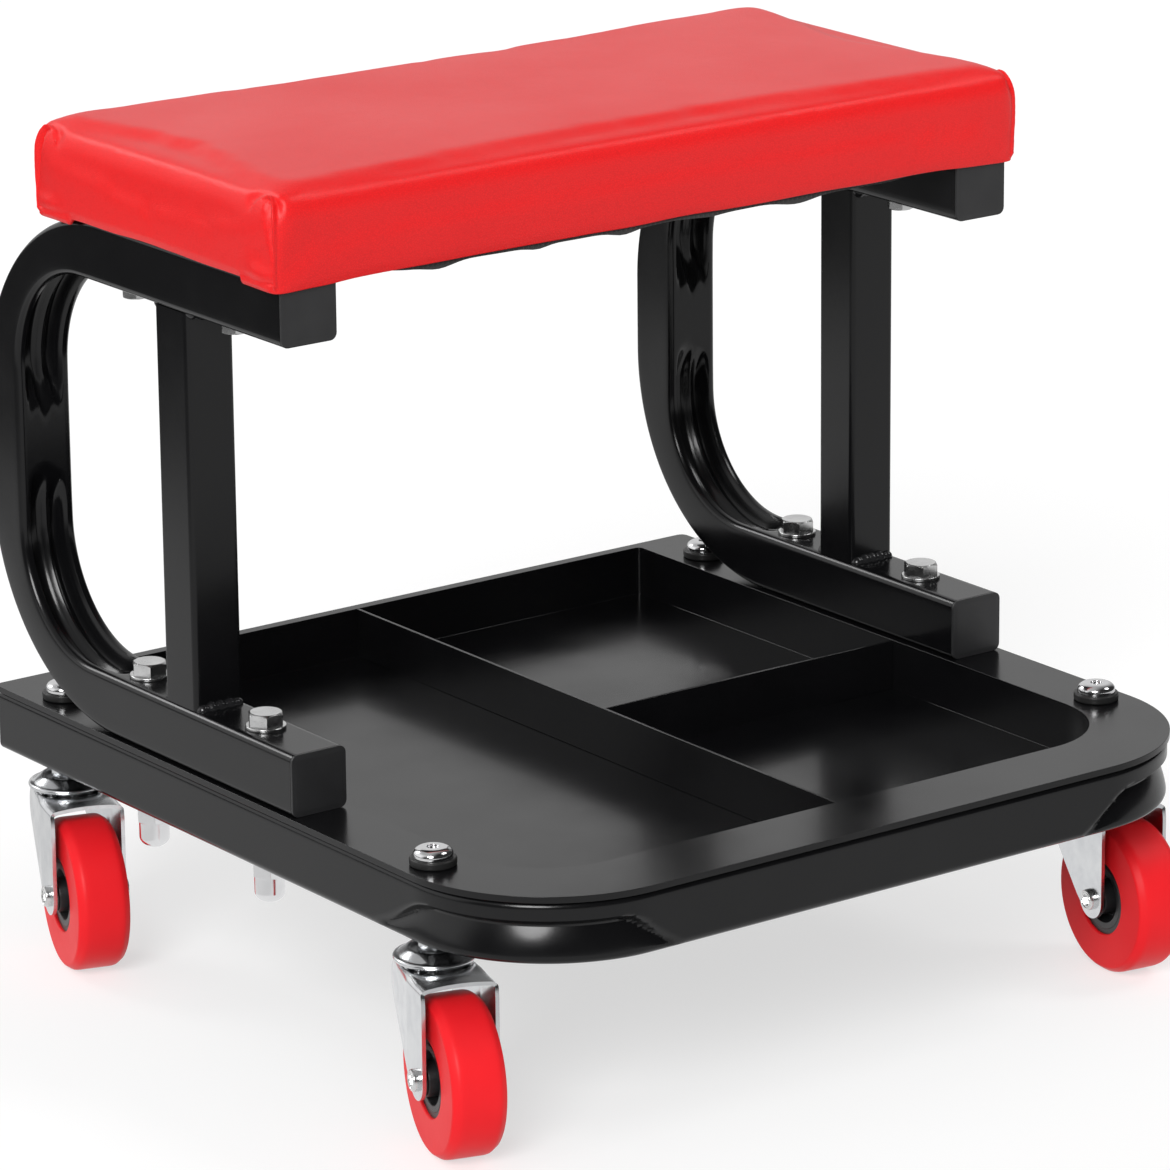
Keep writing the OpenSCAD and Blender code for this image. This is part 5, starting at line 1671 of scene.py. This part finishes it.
def flap_height(past, above):
    """How far the tucked flap stands out on the short side, with a crease above its free edge."""
    reach = smooth_step(0, 1.5 * MM, FLAP + past) * smooth_step(0, 3 * MM, -past)
    step = FLAP_OUT * (1 - smooth_step(FLAP_LINE - 0.4 * MM, FLAP_LINE + 0.4 * MM, above))
    crease = FLAP_CREASE * math.exp(-((above - FLAP_LINE) / FLAP_CREASE) ** 2)
    bulge = FLAP_BULGE * math.exp(-((above - BULGE_AT) / BULGE_WIDE) ** 2) * smooth_step(0, 14 * MM, FLAP + past)
    return (step - crease + bulge) * reach


def fold_corners(piece):
    """Moves the points of the sides: pleats and flaps along their normals, the lower edge up or down."""
    edge_x = SEAT_HALF.x - LOW_INSET.x - SEAT_DRAW - EDGE_WIDE
    edge_y = SEAT_HALF.y - LOW_INSET.y - SEAT_DRAW - EDGE_WIDE
    work_on(piece)
    moved = []
    for vertex in piece.data.vertices:
        place = vertex.co.copy()
        x, y = place.x - SEAT_MIDDLE.x, place.y - SEAT_MIDDLE.y
        above = place.z - SEAT_LOW.z
        past, down = past_corner(place), down_from_edge(place)
        if abs(past) < PLEAT_REACH and above > NEAR and down > -SEAT_ROLL and vertex.normal.z > -0.5:
            height = pleat_height(past, down) * smooth_step(0, 3 * MM, above) + flap_height(past, above)
            place += vertex.normal * height
        low = 1 - smooth_step(0, 6 * MM, above)
        if past < 0:
            lift = FLAP_DROP * smooth_step(FLAP - 0.6 * MM, FLAP + 0.6 * MM, -past)
        else:
            lift = FRONT_LIFT * smooth_step(2 * MM, 40 * MM, past)
        wave = noise.noise(Vector((place.x * 28, place.y * 28, 3.1))) * smooth_step(10 * MM, 30 * MM, abs(past))
        if abs(x) > edge_x or abs(y) > edge_y:
            place.z += low * (lift + EDGE_WAVE * wave)
        moved.append(place)
    for vertex, place in zip(piece.data.vertices, moved):
        vertex.co = place
    piece.data.update()


def near_corner(place):
    """True for a face of the sides or of the rolled edge that lies near a corner."""
    reach = Vector((abs(place.x - SEAT_MIDDLE.x), abs(place.y - SEAT_MIDDLE.y))) - SEAT_HALF.to_2d()
    beside = max(reach.x, reach.y) > -SEAT_ROLL - SEAT_DRAW and SEAT_LOW.z - NEAR < place.z
    return beside and -PLEAT_REACH < past_corner(place) < PLEAT_REACH / 3 and reach.y > -PLEAT_REACH - SEAT_CORNER


def near_fold(place):
    """True for a face right beside the pleat's route."""
    if not near_corner(place):
        return False
    distance, _ = route_distance(Vector((past_corner(place), down_from_edge(place))))
    return abs(distance) < FOLD_REACH


bpy.ops.object.mode_set(mode="EDIT")
print("corner faces divided:", choose("FACE", near_corner))
bpy.ops.mesh.subdivide(number_cuts=1)
print("fold faces divided:", choose("FACE", near_fold))
bpy.ops.mesh.subdivide(number_cuts=2)
fold_corners(cover)
apply_modifier(cover, "SOLIDIFY", thickness=VINYL, offset=-1)
close_piece(cover, "red_vinyl", "frame", "seat_cover", angle=60)

# %% [markdown]
# ### The foam inside
# The foam is a firm block with the same crown, cut to the board. Nothing of it shows while the cover is on,
# but it is there, and closed all round. It is made in the same way as the cover and closed below.

# %% Cut the foam
FOAM_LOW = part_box("seat_foam")[0]
FOAM_GAP = 3 * MM
FOAM_INSET = 0.6
foam_half = SEAT_HALF - Vector((FOAM_GAP, FOAM_GAP, 0))
foam_block = grid_block("foam_block", foam_half, SEAT_EDGE - FOAM_GAP, FOAM_LOW.z)
work_on(foam_block)
bpy.ops.object.mode_set(mode="EDIT")
choose("EDGE", lambda place: place.z < FOAM_LOW.z + NEAR)
bpy.ops.mesh.edge_face_add()
reshape(foam_block, cushion_place(
    foam_half, top=SEAT_EDGE - FOAM_GAP, bottom=FOAM_LOW.z, roll=SEAT_ROLL,
    corner=SEAT_CORNER - FOAM_GAP, low_corner=SEAT_CORNER - FOAM_GAP, low_inset=LOW_INSET * FOAM_INSET,
))
face_outwards(foam_block)
close_piece(foam_block, "foam", "frame", "seat_foam")

# %% [markdown]
# ### The dust cover
# A sheet of thin black felt is stapled over the underside. It is pressed flat where it lies on the tubes,
# sags a little between its staples, and its front and back edges hang down in small lumps that peep out from
# under the vinyl. Between the tubes this hanging edge shows as a dark line below the vinyl, which is partly the
# felt's real edge and partly painted shade that stands in for the shade under the vinyl's turned edge. It is a
# grid whose long edges are extruded and drooped, and a function sags the rest.

# %% Hang the dust cover
DUST_LOW, DUST_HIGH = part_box("seat_dust_cover")
DUST_MIDDLE = (DUST_LOW + DUST_HIGH) / 2
DUST_GRID = 3 * MM
DUST_THICK = 0.35 * MM
DUST_SAG = 2.2 * MM
# The hem hangs just below the vinyl's lower edge: its dark felt is partly painted shade for the vinyl's shaded
# underside.
HEM_Z = SEAT_LOW.z - 0.4 * MM
# The hanging edge first runs out a little way and turns down, and then hangs
HEM_OUT, HEM_TURN, HEM_LEAN = 2.2 * MM, 0.6 * MM, 0.4 * MM
# Lumps of the hanging edge: place along it, half width and drop, in millimetres
HEM_LUMPS = ((-105, 9, 2.0), (-58, 6, 1.2), (-16, 7, 1.6), (28, 9, 0.9), (71, 11, 2.1))
dust_size = DUST_HIGH - DUST_LOW
bpy.ops.mesh.primitive_grid_add(
    x_subdivisions=round(dust_size.x / DUST_GRID), y_subdivisions=round(dust_size.y / DUST_GRID), size=1,
    location=(DUST_MIDDLE.x, DUST_MIDDLE.y, DUST_HIGH.z - DUST_THICK / 2),
)
dust_cover = begin("felt_dust_cover", (dust_size.x, dust_size.y, 1))
FREE = RAIL - TUBE / 2 - 6 * MM
for edge_y, sign in ((DUST_LOW.y, -1), (DUST_HIGH.y, 1)):
    choose("EDGE", lambda place: abs(place.y - edge_y) < NEAR and abs(place.x) < FREE)
    run(y=sign * HEM_OUT, z=-HEM_TURN, steps=3)
    run(y=sign * HEM_LEAN, z=HEM_Z + HEM_TURN - DUST_HIGH.z, steps=4)


def sagged(place):
    free_x = smooth_step(0, 30 * MM, FREE - abs(place.x))
    past_edge = max(0, DUST_LOW.y - place.y, place.y - DUST_HIGH.y)
    free_y = smooth_step(4 * MM, 45 * MM, min(place.y - DUST_LOW.y, DUST_HIGH.y - place.y))
    lumps = sum(drop * MM * math.exp(-((place.x / MM - x) / half) ** 2) for x, half, drop in HEM_LUMPS)
    lumps += 0.5 * MM * noise.noise(Vector((place.x * 60, 0.4, 7.3)))
    wrinkle = noise.noise(Vector((place.x * 22, place.y * 22, 5.2)))
    sag = DUST_SAG * free_x * free_y * (0.75 + 0.5 * wrinkle)
    share = (DUST_HIGH.z - DUST_THICK / 2 - place.z) / (DUST_HIGH.z - HEM_Z) if past_edge else 0
    droop = share * (lumps - (1 - free_x) * (DUST_HIGH.z - HEM_Z))
    return Vector((place.x, place.y, place.z - sag - droop))


reshape(dust_cover, sagged)
face_outwards(dust_cover)
apply_modifier(dust_cover, "SOLIDIFY", thickness=DUST_THICK, offset=0)
close_piece(dust_cover, "dust_cloth", "frame", "seat_dust_cover")

# %% [markdown]
# ## The casters
# A caster is a fork bent from one sheet, which turns on a ring of balls under a cap, and a red wheel on an
# axle through the fork's legs. One caster is modelled with its stem on the Z axis and its wheel out along X.
# The frame's joints say where the four stand and which way each has turned.

# %% Measure the casters
CASTERS = {}
for corner in CORNERS:
    axle = Vector(JOINTS["roll_" + corner]["pos_m"])
    out = axle - STEMS[corner]
    CASTERS[corner] = (
        Matrix.Translation((STEMS[corner].x, STEMS[corner].y, 0)) @ Matrix.Rotation(math.atan2(out.y, out.x), 4, "Z")
    )
WHEEL_R = span("tread_front_left", Z)[1] / 2
TRAIL = math.hypot(out.x, out.y)
FORK_TOP = span("fork_front_left", Z)[1]
CAP_LOW, CAP_TOP = span("swivel_caps", Z)
STEM_LOW, STEM_HIGH = span("caster_stems", Z)
BALL_LOW, BALL_HIGH = span("swivel_balls", Z)
FORK_T = 1.6 * MM
FORK_HALF = 15.6 * MM
print("wheel radius", round(WHEEL_R / MM, 2), "trail", round(TRAIL / MM, 2), "fork top", round(FORK_TOP / MM, 2))


def place_casters(model, name, finish, body, node):
    """Copies a model to the four casters, each on its own body."""
    for corner, place in CASTERS.items():
        piece = copy_of(model, f"{name}_{corner}", place)
        close_piece(piece, finish, f"{body}_{corner}", f"{node}_{corner}")
    bpy.data.objects.remove(model)


# %% [markdown]
# ### The fork
# The fork starts as a flat strip. A function then bends it: the middle stays level as the crown, the two ends
# come down as the legs, and each leg tapers to a round end about the axle. The legs have an upright crease, and
# the part ahead of it turns in a little. The crown is dished round the balls and arches up over the wheel.
# Near the round end the strip's squares are spread over the round as the squares of a net are spread over a
# disc, so none of them gets too thin.

# %% Bend the fork
FORK_BEND = 3.2 * MM
FORK_AHEAD = 17.5 * MM
FORK_END = 8 * MM
FORK_STRAIGHT = 14.5 * MM
FORK_CORNER = 5 * MM
FORK_TRIM = 1.0 * MM
FORK_CREASE = TRAIL - 10 * MM
TURNED_IN = math.tan(math.radians(7))
CROWN_ARCH = 1.3 * MM
CROWN_RISE = 1.2 * MM
# How far from the stem the dish's wall rises, and how far back the crown goes over into the arch
DISH_WALL = (14.5 * MM, 15.5 * MM)
ARCH_BEGINS = (6 * MM, 20 * MM)
# Softness of the leading edge's turn and of the legs' crease
EDGE_SOFT, CREASE_SOFT = 2 * MM, 0.7 * MM
CROWN_TOP = FORK_TOP + CROWN_RISE
COLUMNS, ROWS = 36, 128
FACET_SHARE = 14 / COLUMNS
CROWN_FLAT = FORK_HALF - FORK_BEND
BEND_ARC = FORK_BEND * math.pi / 2
LEG = CROWN_TOP - FORK_BEND - WHEEL_R
STRIP = CROWN_FLAT + BEND_ARC + LEG + FORK_END
TAPER_END = math.radians(20)
TAPER = (TRAIL - FORK_END * math.cos(TAPER_END) + FORK_AHEAD) / (
    CROWN_TOP - FORK_STRAIGHT - WHEEL_R + FORK_END * math.sin(TAPER_END)
)


def soft_excess(value, softness):
    """The value itself above 0, nothing below 0, and a soft turn between."""
    return (value + math.sqrt(value ** 2 + softness ** 2)) / 2


def leading_edge(z):
    return TAPER * soft_excess(CROWN_TOP - FORK_STRAIGHT - z, EDGE_SOFT) - FORK_AHEAD


def column_x(column, lead, trail):
    """Where a column of the strip lies between the two edges; one column always follows the crease."""
    knee = max(FORK_CREASE, lead + 5 * MM)
    if column < FACET_SHARE:
        return lead + (knee - lead) * column / FACET_SHARE
    return knee + (trail - knee) * (column - FACET_SHARE) / (1 - FACET_SHARE)


def above_axle(column, along):
    """A place of the strip between the crown's middle and the axle's height."""
    if along < CROWN_FLAT:
        y, z = along, CROWN_TOP
    elif along < CROWN_FLAT + BEND_ARC:
        turned = (along - CROWN_FLAT) / FORK_BEND
        y, z = CROWN_FLAT + FORK_BEND * math.sin(turned), CROWN_TOP - FORK_BEND * (1 - math.cos(turned))
    else:
        y, z = FORK_HALF, CROWN_TOP - FORK_BEND - (along - CROWN_FLAT - BEND_ARC)
    corner = FORK_CORNER * math.exp(-((along - CROWN_FLAT - BEND_ARC / 2) / (5 * MM)) ** 2)
    trim = FORK_TRIM * smooth_step(CROWN_TOP - 8 * MM, CROWN_TOP, z)
    return column_x(column, leading_edge(z) + corner, TRAIL + FORK_END - trim), y, z


def below_axle(column, down):
    """A place of the round end; down goes from 0 at the axle's height to 1 at the lower edge."""
    lead = leading_edge(WHEEL_R)
    start = column_x(column, lead, TRAIL + FORK_END)
    across = (start - TRAIL) / (FORK_END if start > TRAIL else TRAIL - lead)
    half = FORK_END * math.sqrt(1 - down ** 2 / 2)
    extra = max(0, TRAIL - half - leading_edge(WHEEL_R - FORK_END * down * math.sqrt(0.5)))
    x = TRAIL + across * half - extra * max(0, -across)
    return x, FORK_HALF, WHEEL_R - FORK_END * down * math.sqrt(1 - across ** 2 / 2)


def crown_drop(x, y):
    """How far the crown lies below its highest level: the dish under the balls, and the arch over the wheel."""
    dish = CROWN_RISE * (1 - smooth_step(*DISH_WALL, math.hypot(x, y)))
    return dish + CROWN_ARCH * smooth_step(*ARCH_BEGINS, x) * (y / FORK_HALF) ** 2


def fork_place(place):
    column, along = (place.x + 1) / 2, abs(place.y) * STRIP
    down = (along - (STRIP - FORK_END)) / FORK_END
    x, y, z = below_axle(column, down) if down > 0 else above_axle(column, along)
    z -= crown_drop(x, y) * (1 - smooth_step(0, 6 * MM, along - CROWN_FLAT))
    y *= 1 - TURNED_IN * soft_excess(FORK_CREASE - x, CREASE_SOFT) / FORK_HALF
    return Vector((x, math.copysign(y, place.y), z))


bpy.ops.mesh.primitive_grid_add(x_subdivisions=COLUMNS, y_subdivisions=ROWS, size=2)
fork = begin("fork_model")
reshape(fork, fork_place)
apply_modifier(fork, "SOLIDIFY", thickness=FORK_T, offset=-1, use_even_offset=True)
face_outwards(fork)
apply_modifier(fork, "BEVEL", width=0.28 * MM, segments=2, limit_method="ANGLE", angle_limit=math.radians(55))
print("fork faces:", len(fork.data.polygons))

# %% Cut the fork's holes and the balls' race
AXLE_D = 6 * MM
AXLE_BORE_R = AXLE_D / 2 + BORE_GAP
RACE_R = 12 * MM
BALL_MIDDLE = (BALL_LOW + BALL_HIGH) / 2
SIDEWAYS = Matrix.Translation((TRAIL, 0, WHEEL_R)) @ Matrix.Rotation(math.pi / 2, 4, "X")


def round_bar(name, radius, low, high, steps=48):
    return turn(name, [(0, low), (radius, low), (radius, high), (0, high)], steps)


axle_hole = round_bar("axle_hole", AXLE_BORE_R, -2 * FORK_HALF, 2 * FORK_HALF)
axle_hole.data.transform(SIDEWAYS)
combine(fork, axle_hole, "DIFFERENCE")
combine(fork, round_bar("pin_hole", STEM_BORE_R, FORK_TOP - 2 * FORK_T, FORK_TOP + FORK_T), "DIFFERENCE")
bpy.ops.mesh.primitive_torus_add(
    major_segments=96, minor_segments=24, major_radius=RACE_R, minor_radius=BALL_MIDDLE - BALL_LOW + 0.03 * MM,
    location=(0, 0, BALL_MIDDLE),
)
race = begin("ball_race")
work_on(race)
combine(fork, race, "DIFFERENCE")
place_casters(fork, "bent_fork", "bright_zinc", "swivel", "fork")

# %% [markdown]
# ### Cap and stem
# The cap is pressed from sheet: a raised rim about the well in its middle, a slope, and an edge rolled under
# over the balls. The stem is one forging: a flat head under the crown, a pin through the crown and the cap, a
# hexagonal collar that stands in the cap's well, and the long stem up through the tube.

# %% Turn the caps and the stems
GROOVE_R = 2.03 * MM
COLLAR_LOW = CAP_TOP - 1.6 * MM
COLLAR_AF = 13 * MM
cap_underside = [
    (RACE_R + GROOVE_R * math.cos(a), BALL_MIDDLE + GROOVE_R * math.sin(a))
    for a in (math.radians(20 + 10 * i) for i in range(15))
]
# The cap's outline as (radius, height above its top) in millimetres, from the well out to the rolled edge
cap = turn("cap_model", [(r * MM, CAP_TOP + z * MM) for r, z in (
    (5.05, -1.6), (9.3, -1.6), (9.8, -1.3), (10.05, -0.3), (10.3, 0.0), (10.7, -0.1), (11.3, -0.5), (12.6, -1.35),
    (14.0, -2.4), (14.6, -2.85), (15.1, -3.0), (15.6, -3.1), (16.0, -3.4), (16.22, -3.9), (16.2, -4.4),
    (15.95, -4.85), (15.5, -5.12), (15.0, -5.2), (14.3, -5.15),
)] + cap_underside + [(9.8 * MM, CAP_LOW), (STEM_BORE_R, CAP_LOW), (STEM_BORE_R, COLLAR_LOW)], 96)
stem_plan = [(stem.x, stem.y, 0) for stem in STEMS.values()]
place_copies(cap, "swivel_cap_rings", "bright_zinc", "swivel_caps", stem_plan)
collar = hexagon("collar_model", COLLAR_AF, BASE_LOW - COLLAR_LOW, chamfer_bottom=True)
collar.data.transform(Matrix.Translation((0, 0, COLLAR_LOW)))
under_crown = FORK_TOP - FORK_T - 0.1 * MM
pin = turn("pin_model", [
    (0, STEM_LOW), (6.6 * MM, STEM_LOW), (7.6 * MM, STEM_LOW + 0.4 * MM), (8 * MM, STEM_LOW + 1.1 * MM),
    (8 * MM, under_crown), (STEM_D / 2, under_crown), (STEM_D / 2, STEM_HIGH - MM),
    (STEM_D / 2 - MM, STEM_HIGH), (0, STEM_HIGH),
], 64)
combine(collar, pin, "UNION")
soften(collar, EDGE_ROUND)
place_copies(collar, "caster_stem_posts", "bright_zinc", "caster_stems", stem_plan)

# %% [markdown]
# ### Axle, hub and tread
# The axle is a bolt with a low round head: a ring stands about its socket. A hexagonal nut holds it, and a
# sleeve keeps the legs apart. The hub is a grey moulding with a deep recess on each side and a boss in its
# middle, and the tread is cast round it with soft chamfers.

# %% Model the axles
HEAD_R = 4.4 * MM
HEAD_H = 2.2 * MM
SOCKET_AF, SOCKET_DEEP = 4.6 * MM, 1.2 * MM
# The head's outline as (radius, height above the fork's leg) in millimetres
axle_bolt = turn("axle_model", [(0, -FORK_HALF - HEAD_H), (2.6 * MM, -FORK_HALF - HEAD_H)] + [
    (r * MM, FORK_HALF + z * MM) for r, z in (
        (3, -31.2), (3, 0), (4.4, 0), (4.4, 1.35), (4.2, 1.9), (3.75, 2.2), (3.4, 2.2), (3.2, 1.9), (3.05, 1.9),
        (2.9, 2.15), (0, 2.15),
    )
], 64)
socket = hexagon("socket_model", SOCKET_AF, 2 * MM)
socket.data.transform(Matrix.Translation((0, 0, FORK_HALF + HEAD_H - SOCKET_DEEP)))
combine(axle_bolt, socket, "DIFFERENCE")
axle_bolt.data.transform(SIDEWAYS)
place_casters(axle_bolt, "socket_axle_bolt", "zinc_fasteners", "swivel", "axle_bolt")
axle_nut = hexagon("axle_nut_model", 2 * HEAD_R, HEAD_H)
combine(axle_nut, round_bar("nut_hole", AXLE_BORE_R, -MM, 2 * HEAD_H), "DIFFERENCE")
axle_nut.data.transform(SIDEWAYS @ Matrix.Rotation(math.pi, 4, "X") @ Matrix.Translation((0, 0, FORK_HALF)))
place_casters(axle_nut, "axle_hex_nut", "zinc_fasteners", "swivel", "axle_nut")
SLEEVE_R = 4.5 * MM
SLEEVE_BREAK = 0.3 * MM
GAP_HALF = FORK_HALF - FORK_T
sleeve = turn("sleeve_model", [
    (AXLE_BORE_R, -GAP_HALF), (SLEEVE_R - SLEEVE_BREAK, -GAP_HALF), (SLEEVE_R, SLEEVE_BREAK - GAP_HALF),
    (SLEEVE_R, GAP_HALF - SLEEVE_BREAK), (SLEEVE_R - SLEEVE_BREAK, GAP_HALF), (AXLE_BORE_R, GAP_HALF),
    (AXLE_BORE_R, -GAP_HALF),
], 48)
sleeve.data.transform(SIDEWAYS)
place_casters(sleeve, "axle_spacer_sleeve", "zinc_fasteners", "swivel", "axle_sleeve")

# %% Model the wheels
def both_sides(outline):
    """Completes half a wheel's outline, from the bore out to the rim, with its mirror image."""
    return outline + [(r, -z) for r, z in reversed(outline)] + [outline[0]]


# Both outlines are (radius, distance from the wheel's middle) in millimetres
hub = turn("hub_model", both_sides([(r * MM, z * MM) for r, z in (
    (4.55, 12.8), (6.3, 12.8), (6.8, 12.5), (7.0, 11.9), (7.25, 4.6), (7.6, 4.2), (8.4, 4.2), (8.6, 4.7), (9.3, 4.7),
    (9.6, 5.0), (10.5, 9.5), (10.8, 9.9), (11.4, 10.0), (13.2, 10.0), (13.5, 9.75), (15.5, 9.75),
)]), 96)
hub.data.transform(SIDEWAYS)
place_casters(hub, "wheel_hub", "hub_plastic", "wheel", "hub")
tread = turn("tread_model", both_sides([(r * MM, z * MM) for r, z in (
    (15.5, 10.6), (15.9, 10.95), (17.5, 11.0), (28.6, 11.0), (29.3, 10.9), (29.9, 10.5), (31.1, 8.8), (31.5, 8.1),
    (31.68, 7.2), (31.75, 6.0), (31.75, 2.0),
)]), 128)
tread.data.transform(SIDEWAYS)
place_casters(tread, "cast_red_tread", "red_tread", "wheel", "tread")
